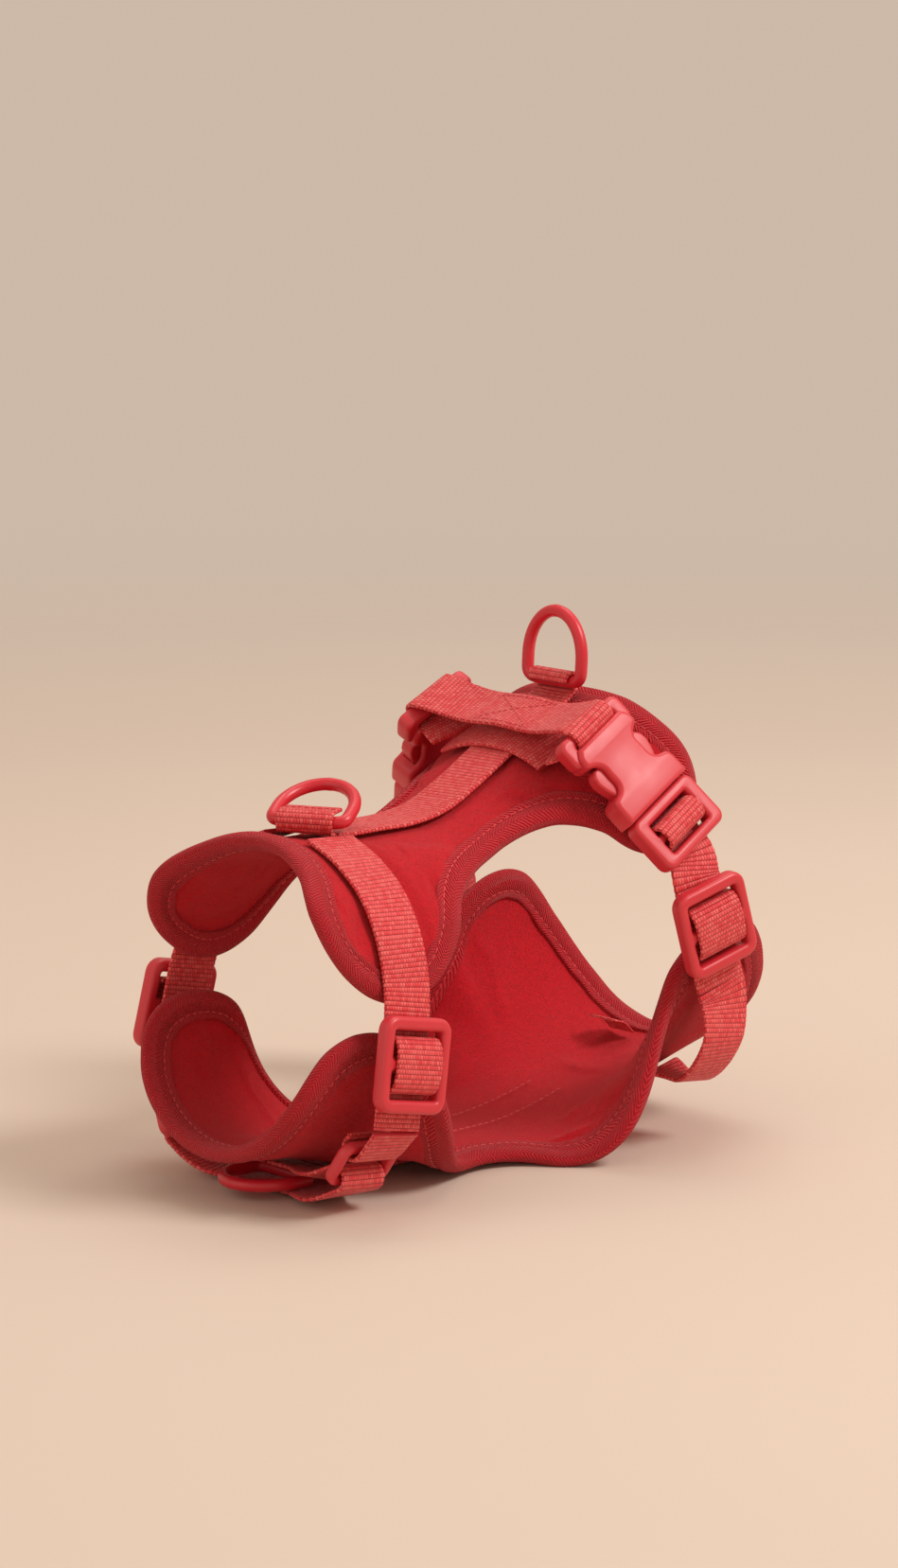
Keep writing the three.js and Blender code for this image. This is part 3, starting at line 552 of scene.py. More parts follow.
@dataclass(frozen=True)
class StudioPaper:
    """Pale warm paper for the floor, fading out far from the harness."""

    name: str = "studio_paper"
    colour: Colour = (0.70, 0.585, 0.495, 1)
    shade: Colour = (0.66, 0.55, 0.46, 1)
    fade_from: float = 0.35
    fade_to: float = 1.9

    def make(self) -> bpy.types.Material:
        """Builds the material from the floor's own coordinates."""
        board = NodeBoard(self.name, Roughness=0.9, Specular_IOR_Level=0.15)
        where = board.add("TexCoord").outputs["Object"]
        fibre = board.noise(where, 900, 4)
        cloud = board.noise(where, 3, 2)
        far = board.add("VectorMath", {0: where}, operation="LENGTH").outputs["Value"]
        ends = {0: far, 1: self.fade_from, 2: self.fade_to, 3: 1.0, 4: 0.0}
        fade = board.add("MapRange", ends, interpolation_type="SMOOTHSTEP")
        board.tree.links.new(fade.outputs[0], board.surface.inputs["Alpha"])
        return board.finish(board.blend(cloud, self.colour, self.shade), fibre, 0.0001, 0.15)


@dataclass
class Finishes:
    """Every finish of the harness, made once."""

    webbing: bpy.types.Material = field(default_factory=lambda: WovenWebbing().make())
    cloth: bpy.types.Material = field(default_factory=lambda: PaddedCloth().make())
    tape: bpy.types.Material = field(default_factory=lambda: HerringboneTape().make())
    plastic: bpy.types.Material = field(default_factory=lambda: MouldedPlastic().make())
    coating: bpy.types.Material = field(default_factory=lambda: RING_COATING.make())
    thread: bpy.types.Material = field(default_factory=lambda: SewingThread().make())


class Slot(Enum):
    """The record's material slots."""

    PANEL = "panel_fabric"
    BINDING = "binding_tape"
    WEBBING = "webbing"
    PLASTIC = "hardware_plastic"
    RING = "ring_coating"


def dress(piece: bpy.types.Object, material: bpy.types.Material,
          body: str | None = None, replaces: Sequence[str] = ()) -> bpy.types.Object:
    """Gives a piece its finish and its place in the frame.

    Args:
        piece: the finished mesh object.
        material: its finish.
        body: the body it rides on, or nothing to leave it without one.
        replaces: the solids it stands for.

    Returns:
        The piece.
    """
    piece.data.materials.clear()
    piece.data.materials.append(material)
    if body:
        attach(piece, body)
    if replaces:
        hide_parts(*replaces)
    LOG.info("%s made, %d faces", piece.name, len(piece.data.polygons))
    return piece


# ------------------------------------------------------------------ webbing


@dataclass
class Strap:
    """A length of webbing laid through stations."""

    name: str
    stations: list[Station]
    width: float = WEBBING_WIDTH
    thickness: float = WEBBING_THICKNESS
    step: float = 0.8
    picot: float = 0.22

    def course(self) -> tuple[Array, Array, Array, Array]:
        """Follows the strap.

        Returns:
            The middle line, the directions along it, its outward directions and the length so far.
        """
        path = spline([s[0] for s in self.stations], 16)
        steps = np.linspace(0, len(self.stations) - 1, len(path))
        outs = np.array([s[1] for s in self.stations], float)
        facing = np.stack([np.interp(steps, np.arange(len(outs)), outs[:, i]) for i in range(3)],
                          axis=1)
        rows, s = resample(np.hstack([path, facing]), self.step)
        middle, along = rows[:, :3], slopes(rows[:, :3])
        out = unit(rows[:, 3:] - along * np.sum(rows[:, 3:] * along, axis=1, keepdims=True))
        return middle, along, out, s

    def build(self) -> bpy.types.Object:
        """Makes the strap: flat faces, round selvedges and a small picot at every second row."""
        middle, along, out, s = self.course()
        across = np.cross(out, along)
        half, thick = self.width / 2, self.thickness / 2
        flat = np.linspace(-half + thick, half - thick, 9)
        edge = np.radians([-60, -20, 20, 60])
        side = np.concatenate([flat, half - thick + thick * np.cos(edge), flat[::-1],
                               -half + thick - thick * np.cos(edge)])
        lift = np.concatenate([-thick * np.ones(9), thick * np.sin(edge), thick * np.ones(9),
                               -thick * np.sin(edge)])
        wave = 1 + self.picot / half * (np.arange(len(s)) % 2)[:, None]
        wide = side[None, :] * np.where(np.abs(side)[None, :] > half - 1.2, wave, 1)
        rings = (middle[:, None] + wide[..., None] * across[:, None]
                 + lift[None, :, None] * out[:, None])
        faces = tube_faces(len(s), len(side), False)
        uvs = tube_uvs(s, np.append(side, side[0]), False)
        return make_mesh(self.name, rings.reshape(-1, 3), faces, uvs)

    def seam(self, start: float, end: float, side: float, lift: float = 0.1) -> Array:
        """A line on the strap's outer face, between two lengths at an offset from its middle."""
        middle, along, out, s = self.course()
        rows = middle + side * np.cross(out, along) + (self.thickness / 2 + lift) * out
        keep = (s >= start) & (s <= end)
        return np.hstack([rows[keep], out[keep]])


@dataclass
class StitchRows:
    """Rows of sewn stitches, each a short thread lying on the cloth."""

    name: str
    pitch: float = 3.0
    length: float = 2.2
    radius: float = 0.28
    rows: list[Array] = field(default_factory=list)

    def add(self, line: Array, closed: bool = False) -> None:
        """Adds a row along a line of points with their outward directions."""
        pts = np.vstack([line, line[:1]]) if closed else line
        self.rows.append(resample(pts, self.pitch)[0])

    def build(self) -> bpy.types.Object:
        """Makes every stitch of every row as one mesh."""
        points, faces = [], []
        turns = np.linspace(0, 2 * math.pi, 6, endpoint=False)
        for row in self.rows:
            centre, out = row[:, :3], unit(row[:, 3:6])
            along = slopes(centre)
            for c, a, n in zip(centre, along, out):
                b = np.cross(n, a)
                first = sum(len(p) for p in points)
                ring = []
                for t, r, drop in ((-0.5, 0.35, -0.3), (-0.25, 1, 0), (0.25, 1, 0),
                                   (0.5, 0.35, -0.3)):
                    middle = c + a * self.length * t + n * drop * self.radius
                    ring.append(middle + r * self.radius
                                * (np.outer(np.cos(turns), b) + np.outer(np.sin(turns), n)))
                points.append(np.concatenate(ring))
                faces += tube_faces(4, 6, False, first)
        return make_mesh(self.name, np.concatenate(points), faces)


# ------------------------------------------------------------------ panels


@dataclass
class CurledSheet:
    """A curled surface over the flat coordinates x, along the dog, and q, round it."""

    height: Callable[[Array], Array]
    curl: Callable[[Array], Array]
    side: int
    shift: Callable[[Array], Array] = lambda x: 0 * np.asarray(x, float)

    def middle(self, x: Array, q: Array) -> Array:
        """The surface itself at flat points."""
        x, q = np.asarray(x, float), np.asarray(q, float)
        c = self.curl(x)
        c = np.where(np.abs(c) < 1e-6, 1e-6, c)
        rise = self.side * (1 - np.cos(c * q)) / c
        return np.stack([x, np.sin(c * q) / c + self.shift(x), self.height(x) + rise], axis=-1)

    def outward(self, x: Array, q: Array) -> Array:
        """The direction away from the dog at flat points."""
        x, q = np.asarray(x, float), np.asarray(q, float)
        along = self.middle(x + 0.5, q) - self.middle(x - 0.5, q)
        across = self.middle(x, q + 0.5) - self.middle(x, q - 0.5)
        return unit(np.cross(along, across) * -self.side)

    def at(self, x: Array, q: Array, lift: Array = 0.0) -> Array:
        """Flat points raised off the sheet on its outer side."""
        return self.middle(x, q) + np.asarray(lift, float)[..., None] * self.outward(x, q)

    def station(self, x: float, q: float, lift: float) -> Station:
        """A station of a strap that lies on the sheet."""
        return self.at(x, q, lift), self.outward(x, q)


BACK = CurledSheet(
    height=lambda x: (116.5 + 33 * smoothstep(x, -10, 80) + RUMP_LIFT * smoothstep(x, 60, 88)
                      + 0.006 * np.maximum(0, -48 - x) ** 2),
    curl=lambda x: 1 / 49 + (1 / 57 - 1 / 49) * smoothstep(x, -40, -5),
    side=-1,
    shift=lambda x: LOIN_SHIFT * smoothstep(x, -20, 40),
)
SAG = 0.004
CHEST = CurledSheet(
    height=lambda x: 5.2 + 11.8 * (1 - smoothstep(x, -98, -30)) + 22.8 * smoothstep(x, 20, 145),
    curl=lambda x: ((1 / 44 + SAG) * (1 - smoothstep(x, -50, -5))
                    + (1 / 57 + SAG) * smoothstep(x, 24, 68) - SAG),
    side=1,
)

BACK_HALF = [
    (-74, 0), (-78, 24), (-86, 48), (-82, 63), (-70, 72), (-54, 75), (-38, 70), (-26, 58),
    (-18, 45), (-4, 36),
    (14, 34), (30, 40), (44, 54), (54, 68), (68, 76), (82, 71), (87, 54), (83, 32), (77, 0),
]
CHEST_HALF = [
    (-98, 0), (-97, 26), (-93, 48), (-84, 65), (-68, 74), (-51, 74), (-38, 64), (-29, 50),
    (-18, 38), (-2, 32),
    (12, 35), (25, 48), (40, 62), (56, 71), (69, 87), (86, 93), (104, 87), (116, 66), (121, 43),
    (121, 20), (120, 0),
]


@dataclass
class Outline:
    """The closed cutting line of a panel, mirrored from one half."""

    half: list[tuple[float, float]]

    def __post_init__(self) -> None:
        """Lays the line out with even steps."""
        full = self.half + [(x, -q) for x, q in reversed(self.half[1:-1])]
        raw = spline(full, 24, closed=True)
        even, s = resample(np.vstack([raw, raw[:1]]), 0.5)
        self.points, self.total = even[:-1], s[-1]
        along = slopes(self.points, closed=True)
        self.inward = np.stack([along[:, 1], -along[:, 0]], axis=1)

    def at(self, u: Array, inset: Array = 0.0) -> Array:
        """Points at shares of the way round, moved inwards."""
        n = len(self.points)
        f = np.mod(np.asarray(u, float), 1) * n
        i = np.floor(f).astype(int) % n
        t = (f - np.floor(f))[..., None]
        base = self.points[i] * (1 - t) + self.points[(i + 1) % n] * t
        push = self.inward[i] * (1 - t) + self.inward[(i + 1) % n] * t
        return base + unit(push) * np.asarray(inset, float)[..., None]

    def nearest(self, x: float, q: float) -> float:
        """The share of the way round that is nearest to a flat point on the right side."""
        n = len(self.points) // 2
        return float(np.argmin(np.linalg.norm(self.points[:n] - (x, q), axis=1))) / len(self.points)


@dataclass
class PaddedPanel:
    """A foam-backed panel with its folded binding and the stitches that hold it."""

    name: str
    sheet: CurledSheet
    outline: Outline
    front_corner: tuple[float, float]
    rear_corner: tuple[float, float]
    pressed: list[tuple[float, float, float, float]]
    tuck: float = 8.4
    lengthways: int = 84
    crossways: int = 56
    puff: float = 1.1
    inner_puff: float = 0.9
    pressed_puff: float = 0.12
    easing: float = 0.3
    face_inset: float = 0.15
    seam_inset: float = 7.6
    seam_lift: float = 2.45

    def flat_grid(self) -> Array:
        """The flat points of the cloth, stretched between the four stretches of outline."""
        front = self.outline.nearest(*self.front_corner)
        rear = self.outline.nearest(*self.rear_corner)
        s = np.linspace(0, 1, self.lengthways)
        t = np.linspace(0, 1, self.crossways)
        ends = [self.outline.at(-front + 2 * front * t, self.tuck),
                self.outline.at(1 - rear + (2 * rear - 1) * t, self.tuck)]
        sides = [self.outline.at(1 - front + (front - rear) * s, self.tuck),
                 self.outline.at(front + (rear - front) * s, self.tuck)]
        S, T = s[:, None, None], t[None, :, None]
        grid = ((1 - S) * ends[0][None] + S * ends[1][None]
                + (1 - T) * sides[0][:, None] + T * sides[1][:, None])
        corners = ((1 - S) * (1 - T) * ends[0][0] + (1 - S) * T * ends[0][-1]
                   + S * (1 - T) * ends[1][0] + S * T * ends[1][-1])
        return grid - corners

    def room(self, flat: Array) -> Array:
        """How far the outer face may swell at flat points: hardly at all under a strap."""
        free = np.full(flat.shape[:-1], self.puff)
        for x0, x1, q0, q1 in self.pressed:
            dx = np.maximum(np.maximum(x0 - flat[..., 0], flat[..., 0] - x1), 0)
            dq = np.maximum(np.maximum(q0 - flat[..., 1], flat[..., 1] - q1), 0)
            free = np.minimum(free, self.pressed_puff + self.easing * np.hypot(dx, dq))
        return free

    def cloth(self) -> bpy.types.Object:
        """Makes the padded cloth and lets it swell against its pinned edge.

        Returns:
            The cloth as one closed mesh.
        """
        flat = self.flat_grid()
        n, m = flat.shape[:2]
        half = PANEL_THICKNESS / 2 - self.face_inset
        top = self.sheet.at(flat[..., 0], flat[..., 1], half)
        low = self.sheet.at(flat[..., 0], flat[..., 1], -half)
        points = np.concatenate([top.reshape(-1, 3), low.reshape(-1, 3)])
        shift = n * m
        faces, uvs = [], []
        cells = [(i, j) for i in range(n - 1) for j in range(m - 1)]
        for i, j in cells:
            quad = [(i, j), (i + 1, j), (i + 1, j + 1), (i, j + 1)]
            for base, order in ((0, quad), (shift, quad[::-1])):
                faces.append([base + a * m + b for a, b in order])
                uvs += [flat[a, b] for a, b in order]
        rim = [(i, 0) for i in range(n)] + [(n - 1, j) for j in range(1, m)]
        rim += [(i, m - 1) for i in range(n - 2, -1, -1)] + [(0, j) for j in range(m - 2, 0, -1)]
        for (a, b), (c, d) in zip(rim, rim[1:] + rim[:1]):
            faces.append([a * m + b, shift + a * m + b, shift + c * m + d, c * m + d])
            uvs += [flat[a, b], flat[a, b], flat[c, d], flat[c, d]]
        piece = make_mesh(self.name + "_cloth", points, faces, uvs)
        edge = sorted({base + a * m + b for a, b in rim for base in (0, shift)})
        self.swell(piece, edge, flat)
        return piece

    def swell(self, piece: bpy.types.Object, edge: list[int], flat: Array) -> None:
        """Runs the cloth with a little pressure and keeps a capped share of what it did.

        Args:
            piece: the cloth, changed in place.
            edge: the corners that the binding holds.
            flat: the flat points of the grid.
        """
        mesh = piece.data
        rest = np.empty(len(mesh.vertices) * 3, np.float32)
        mesh.vertices.foreach_get("co", rest)
        rest = rest.reshape(-1, 3).astype(float)
        normals = np.concatenate(
            [self.sheet.outward(flat[..., 0], flat[..., 1]).reshape(-1, 3)] * 2)
        outer = len(normals) // 2
        normals[outer:] *= -1
        group = piece.vertex_groups.new(name="held")
        group.add(edge, 1.0, "REPLACE")
        cloth = piece.modifiers.new("swell", "CLOTH")
        cloth.settings.quality = 4
        cloth.settings.vertex_group_mass = "held"
        cloth.settings.use_pressure = True
        cloth.settings.uniform_pressure_force = 4.0
        cloth.settings.shrink_min = -0.03
        cloth.settings.effector_weights.gravity = 0
        scene = bpy.context.scene
        for number in range(1, 19):
            scene.frame_set(number)
        shaped = piece.evaluated_get(bpy.context.evaluated_depsgraph_get()).to_mesh()
        after = np.empty(len(shaped.vertices) * 3, np.float32)
        shaped.vertices.foreach_get("co", after)
        moved = after.reshape(-1, 3).astype(float) - rest
        piece.modifiers.clear()
        piece.vertex_groups.clear()
        scene.frame_set(1)
        free = np.concatenate([self.room(flat).ravel(), np.full(outer, self.inner_puff)]) * 0.001
        along = np.sum(moved * normals, axis=1)
        along = np.clip(along, -0.0006, free)
        mesh.vertices.foreach_set(
            "co", (rest + along[:, None] * normals).astype(np.float32).ravel())
        mesh.update()
        finer = piece.modifiers.new("finer", "SUBSURF")
        finer.levels = finer.render_levels = 1

    def binding(self) -> bpy.types.Object:
        """Makes the folded tape: a round edge, a sewn groove and a loose inner flap each side."""
        profile = [(10.3, 1.3), (10.1, 2.5), (9.3, 2.75), (8.3, 2.6), (7.5, 2.3), (6.6, 2.65),
                   (4.8, 3.05), (2.6, 2.7), (0.9, 1.75), (0.15, 0.6)]
        section = spline(profile + [(a, -b) for a, b in reversed(profile)], 3)
        u = np.linspace(0, 1, int(self.outline.total / 1.6), endpoint=False)
        wander = 0.12 * np.sin(u * 2 * math.pi * 37) + 0.1 * np.sin(u * 2 * math.pi * 61 + 1)
        rings = []
        for inset, lift in section:
            loose = 1.0 if inset > 8 else 0.3
            flat = self.outline.at(u, inset + wander * loose)
            rings.append(self.sheet.at(flat[:, 0], flat[:, 1],
                                       lift * (1 + 0.04 * np.sin(u * 2 * math.pi * 23))))
        points = np.stack(rings, axis=1)
        around = lengths(np.vstack([section, section[:1]]))
        along = np.append(u, 1.0) * round(self.outline.total)
        faces = tube_faces(len(u), len(section), True)
        return make_mesh(self.name + "_tape", points.reshape(-1, 3), faces,
                         tube_uvs(along, around, True), 80)

    def stitches(self) -> bpy.types.Object:
        """Makes the two rows of stitches that hold the tape, one on each face."""
        rows = StitchRows(self.name + "_stitches")
        u = np.linspace(0, 1, int(self.outline.total / 1.0), endpoint=False)
        for lift in (self.seam_lift, -self.seam_lift):
            flat = self.outline.at(u, self.seam_inset)
            out = self.sheet.outward(flat[:, 0], flat[:, 1]) * np.sign(lift)
            rows.add(np.hstack([self.sheet.at(flat[:, 0], flat[:, 1], lift), out]), closed=True)
        return rows.build()

    def make(self, finishes: Finishes) -> None:
        """Builds and dresses the whole panel."""
        cloth = dress(self.cloth(), finishes.cloth, "harness", [self.name])
        dress(self.binding(), finishes.tape, "harness", [self.name + "_binding"])
        dress(self.stitches(), finishes.thread, "harness")


BACK_PANEL = PaddedPanel(
    "back_panel", BACK, Outline(BACK_HALF), (-83, 60), (87, 60),
    pressed=[(-70, 62, -11, 11), (-66, -40, -72, 72), (34, 60, -30, 30)],
)
CHEST_PANEL = PaddedPanel(
    "chest_panel", CHEST, Outline(CHEST_HALF), (-87, 62), (112, 78),
    pressed=[(-76, 66, -12, 12), (-76, -48, -36, 36)],
)


# ------------------------------------------------------------------ moulded pieces and rings


@dataclass
class MouldedPlate:
    """A flat moulding with holes and rounded edges."""

    name: str
    outline: Array
    holes: list[Array]
    thickness: float
    round_off: float
    place: Placement
    lift: float = 0.0

    def build(self) -> bpy.types.Object:
        """Makes the plate in its place.

        Returns:
            The plate as a mesh object.
        """
        curve = bpy.data.curves.new(self.name, "CURVE")
        curve.dimensions = "2D"
        curve.fill_mode = "BOTH"
        for loop in [self.outline, *self.holes]:
            line = curve.splines.new("POLY")
            line.points.add(len(loop) - 1)
            line.use_cyclic_u = True
            for point, (x, y) in zip(line.points, loop):
                point.co = (x, y, 0, 1)
        curve.offset = -self.round_off
        curve.extrude = self.thickness / 2 - self.round_off
        curve.bevel_depth = self.round_off
        curve.bevel_resolution = 3
        rough = bpy.data.objects.new(self.name, curve)
        bpy.context.scene.collection.objects.link(rough)
        bpy.context.view_layer.update()
        solved = bpy.context.evaluated_depsgraph_get()
        mesh = bpy.data.meshes.new_from_object(rough.evaluated_get(solved))
        corners = np.empty(len(mesh.vertices) * 3, np.float32)
        mesh.vertices.foreach_get("co", corners)
        faces = [tuple(p.vertices) for p in mesh.polygons]
        bpy.data.objects.remove(rough)
        bpy.data.meshes.remove(mesh)
        local = corners.reshape(-1, 3).astype(float) + (0, 0, self.lift)
        piece = make_mesh(self.name, self.place.world(local), faces, smooth_angle=42)
        weld = piece.modifiers.new("weld", "WELD")
        weld.merge_threshold = 1e-6
        return piece


@dataclass
class WireRing:
    """A welded ring of coated wire: an arch over a straight bar."""

    name: str
    pivot: tuple[float, float, float]
    yaw: float
    lean: float
    wire: float = 2.2
    half_width: float = 13.4
    height: float = 24.4
    bar_drop: float = 8.0
    section_sides: int = 16

    def build(self) -> bpy.types.Object:
        """Makes the ring with a small weld bead at the top of its arch."""
        turns = np.linspace(0, 2 * math.pi, 97)[:-1] + 1e-4
        low = np.sin(turns) < 0
        power = np.where(low, 1 / 3, 1.0)
        reach = np.where(low, self.bar_drop, self.height - self.bar_drop)
        y = self.half_width * np.sign(np.cos(turns)) * np.abs(np.cos(turns)) ** power
        z = reach * np.sign(np.sin(turns)) * np.abs(np.sin(turns)) ** power + self.bar_drop
        path = resample(np.vstack([np.stack([0 * y, y, z], 1), [[0, y[0], z[0]]]]), 0.8)[0][:-1]
        along = slopes(path, closed=True)
        outward = np.stack([np.zeros(len(path)), along[:, 2], -along[:, 1]], 1)
        bead = 1 + 0.05 * np.exp(-((path[:, 1] / 0.7) ** 2)) * (path[:, 2] > self.bar_drop)
        around = np.linspace(0, 2 * math.pi, self.section_sides + 1)[:-1]
        rings = (path[:, None] + self.wire * bead[:, None, None] * (
            np.cos(around)[None, :, None] * outward[:, None]
            + np.sin(around)[None, :, None] * np.array([1.0, 0, 0])))
        x, y, z = rings[..., 0], rings[..., 1], rings[..., 2]
        cosine, sine = math.cos(self.lean), math.sin(self.lean)
        x, z = x * cosine + z * sine, -x * sine + z * cosine
        cosine, sine = math.cos(self.yaw), math.sin(self.yaw)
        x, y = x * cosine - y * sine, x * sine + y * cosine
        points = np.stack([x, y, z], -1) + np.array(self.pivot)
        faces = tube_faces(len(path), self.section_sides, True)
        return make_mesh(self.name, points.reshape(-1, 3), faces, smooth_angle=80)


@dataclass
class Rings:
    """The three rings that a lead clips to."""

    wire_clearance: float = 1.9 + 0.7 + WEBBING_THICKNESS / 2

    @property
    def front_pivot(self) -> Array:
        """The middle of the front ring's bar."""
        return np.array([-52, 0, 116.5 + ON_PANEL + self.wire_clearance + 1.1])

    @property
    def rear_pivot(self) -> Array:
        """The middle of the rear ring's bar."""
        return np.array([66.5, LOIN_SHIFT, 159])

    def make(self, finishes: Finishes) -> None:
        """Builds and dresses the rings."""
        for name, pivot, yaw, lean in (
            ("front_ring", self.front_pivot, 0.5, 1.2),
            ("rear_ring", self.rear_pivot, 0.0, 0.06),
            ("chest_ring", np.array([-62, 0, 4.4]), 0.0, -1.54),
        ):
            ring = WireRing(name + "_wire", tuple(pivot), yaw, lean).build()
            dress(ring, finishes.coating, name, [name])


# ------------------------------------------------------------------ straps on the middle


@dataclass
class MiddleStraps:
    """The straps along the back and the belly, across the back and the chest, and the label."""

    rings: Rings
    ring_yaw: float = 0.5
    bar_centre: float = -0.55
    bar_wrap: float = 4.3
    loop_bar: float = 6.75
    loop_wrap: float = 4.1

    def spine(self) -> Strap:
        """The strap along the back that folds round the front ring."""
        stations = [BACK.station(x, 0, ON_PANEL) for x in (52, 38, 22, 5, -12, -28, -40)]
        forward = np.array([-math.cos(self.ring_yaw), -math.sin(self.ring_yaw), 0])
        pivot = self.rings.front_pivot
        place = Placement.along(pivot, forward, np.array([0, 0, 1.0]))
        stations += place.wrap(0, self.rings.wire_clearance, pivot - forward)
        stations.append(place.station(0, -7, self.rings.wire_clearance))
        return Strap("spine_webbing", stations)

    def rear_loop(self) -> Strap:
        """The short fold that holds the rear ring."""
        stations = [(BACK.at(56, 0, ON_PANEL), np.array([0.5, 0, -0.86]))]
        for degrees in (-20, 20, 60, 100, 140, 180):
            out = np.array([math.cos(math.radians(degrees)), 0, math.sin(math.radians(degrees))])
            stations.append((self.rings.rear_pivot + self.rings.wire_clearance * out, out))
        return Strap("rear_ring_fold", stations, width=19)

    def top_girth(self) -> Strap:
        """The strap across the loin, folded round both sockets."""
        out = np.array([-0.4, 0, 0.92])

        def top(y: float) -> Station:
            """A station on the upper layer."""
            return np.array([46.5, y + LOIN_SHIFT, 150.3 - abs(y) / 30]), out

        def half(hand: Hand) -> list[Station]:
            """The tail and the fold of one side."""
            under = BACK.at(46, hand.value * 23, ON_PANEL + 3.6)
            return [(under, -out),
                    *buckle_place(hand).wrap(self.bar_centre, self.bar_wrap, top(0)[0])]

        stations = [*half(Hand.LEFT), top(-18), top(0), top(18), *reversed(half(Hand.RIGHT))]
        return Strap("girth_top_webbing", stations)

    def under_girth(self) -> Strap:
        """The lower layer of the strap across the loin, sewn to the panel."""
        stations = [BACK.station(46.5, q, ON_PANEL + 1.75) for q in (-25, -16, -8, 0, 8, 16, 25)]
        return Strap("girth_under_webbing", stations)

    def chest(self) -> Strap:
        """The doubled strap across the chest that holds the chest ring and both loops."""

        def layer(y: float, z: float, out: Array) -> Station:
            """A station on one of the two layers."""
            beyond = max(0.0, abs(y) - 15)
            return np.array([-62 - 0.45 * beyond, y, z + beyond / 8]), out

        down, up = np.array([0, 0, -1.0]), unit(np.array([0.25, 0, 0.97]))
        middle = np.array([-62.0, 0, 1.0])
        folds = {hand: chest_loop_place(hand).wrap(self.loop_bar, self.loop_wrap, middle)
                 for hand in Hand}
        stations = [layer(y, 7.5, up) for y in (-1, -14, -28)] + folds[Hand.LEFT][::-1]
        stations += [layer(y, 1.0, down) for y in (-28, -14, 0, 14, 28)]
        stations += folds[Hand.RIGHT] + [layer(y, 7.5, up) for y in (28, 14, 1)]
        return Strap("chest_webbing", stations)

    def label(self) -> Strap:
        """The small blank folded label at the rear edge."""
        foot = CHEST.at(104, 6, -PANEL_THICKNESS / 2 - 5 * GAP)
        steps = (((1, 0, 0.2), (1, 0, 0.3)), ((-3, 0, 4), (0.6, 0, 0.8)), ((-9, 0, 6), (0.2, 0, 1)))
        stations = [(foot + np.array(shift, float), unit(np.array(out, float)))
                    for shift, out in steps]
        return Strap("label_tape", stations, width=12, thickness=0.8, picot=0)

    def stitches(self, top: Strap, spine: Strap) -> bpy.types.Object:
        """The box and cross sewn through the strap across the loin, and the seams round it."""
        rows = StitchRows("strap_stitches", pitch=2.4, length=1.8)
        middle = lengths(top.course()[0])[-1] / 2
        for side in (-8, 8):
            rows.add(top.seam(middle - 14, middle + 12, side))
        for start in (-14, 12):
            rows.add(self.across(top, middle + start, middle + start, -8, 8))
        rows.add(self.across(top, middle - 14, middle + 12, -8, 8))
        rows.add(self.across(top, middle - 14, middle + 12, 8, -8))
        total = lengths(spine.course()[0])[-1]
        rows.add(self.across(spine, total - 4, total - 4, -8.5, 8.5))
        return rows.build()

    @staticmethod
    def across(strap: Strap, start: float, end: float, from_side: float, to_side: float) -> Array:
        """A straight line drawn over a strap's outer face.

        Args:
            strap: the strap.
            start: the length along it where the line begins.
            end: the length where it ends.
            from_side: the offset from the strap's middle where the line begins.
            to_side: the offset where it ends.

        Returns:
            Points with their outward directions.
        """
        middle, along, out, s = strap.course()
        steps = np.linspace(0, 1, 12)
        rows = []
        for t in steps:
            i = int(np.argmin(np.abs(s - (start + (end - start) * t))))
            side = from_side + (to_side - from_side) * t
            rows.append(np.concatenate([
                middle[i] + side * np.cross(out[i], along[i]) + 0.85 * out[i], out[i]]))
        return np.array(rows)

    def make(self, finishes: Finishes) -> None:
        """Builds and dresses every strap on the middle."""
        spine, top = self.spine(), self.top_girth()
        lengthways, crossways = (-48, -32, -16, 0, 20, 40, 62), (-40, -27, -13, 0, 13, 27, 40)
        belly = Strap("belly_webbing", [CHEST.station(x, 0, ON_PANEL + GAP) for x in lengthways])
        lower = Strap(
            "girth_belly_webbing", [CHEST.station(76, q, OVER_BINDING + 1) for q in crossways])
        for strap, node in (
            (spine, "spine_strap"), (self.rear_loop(), "rear_ring_loop"), (top, "girth_top_strap"),
            (belly, "belly_strap"), (lower, "girth_belly_strap"), (self.chest(), "chest_strap"),
            (self.label(), "blank_label"),
        ):
            dress(strap.build(), finishes.webbing, "harness", [node])
        dress(self.under_girth().build(), finishes.webbing, "harness")
        dress(self.stitches(top, spine), finishes.thread, "harness")
        seams = StitchRows("belly_seams")
        x = np.linspace(-46, 60, 90)
        for q in (-8, 8):
            out = -CHEST.outward(x, 0 * x + q)
            seams.add(np.hstack([CHEST.at(x, 0 * x + q, -PANEL_THICKNESS / 2 - 0.75), out]))
        dress(seams.build(), finishes.thread, "harness")


# ------------------------------------------------------------------ the two sides


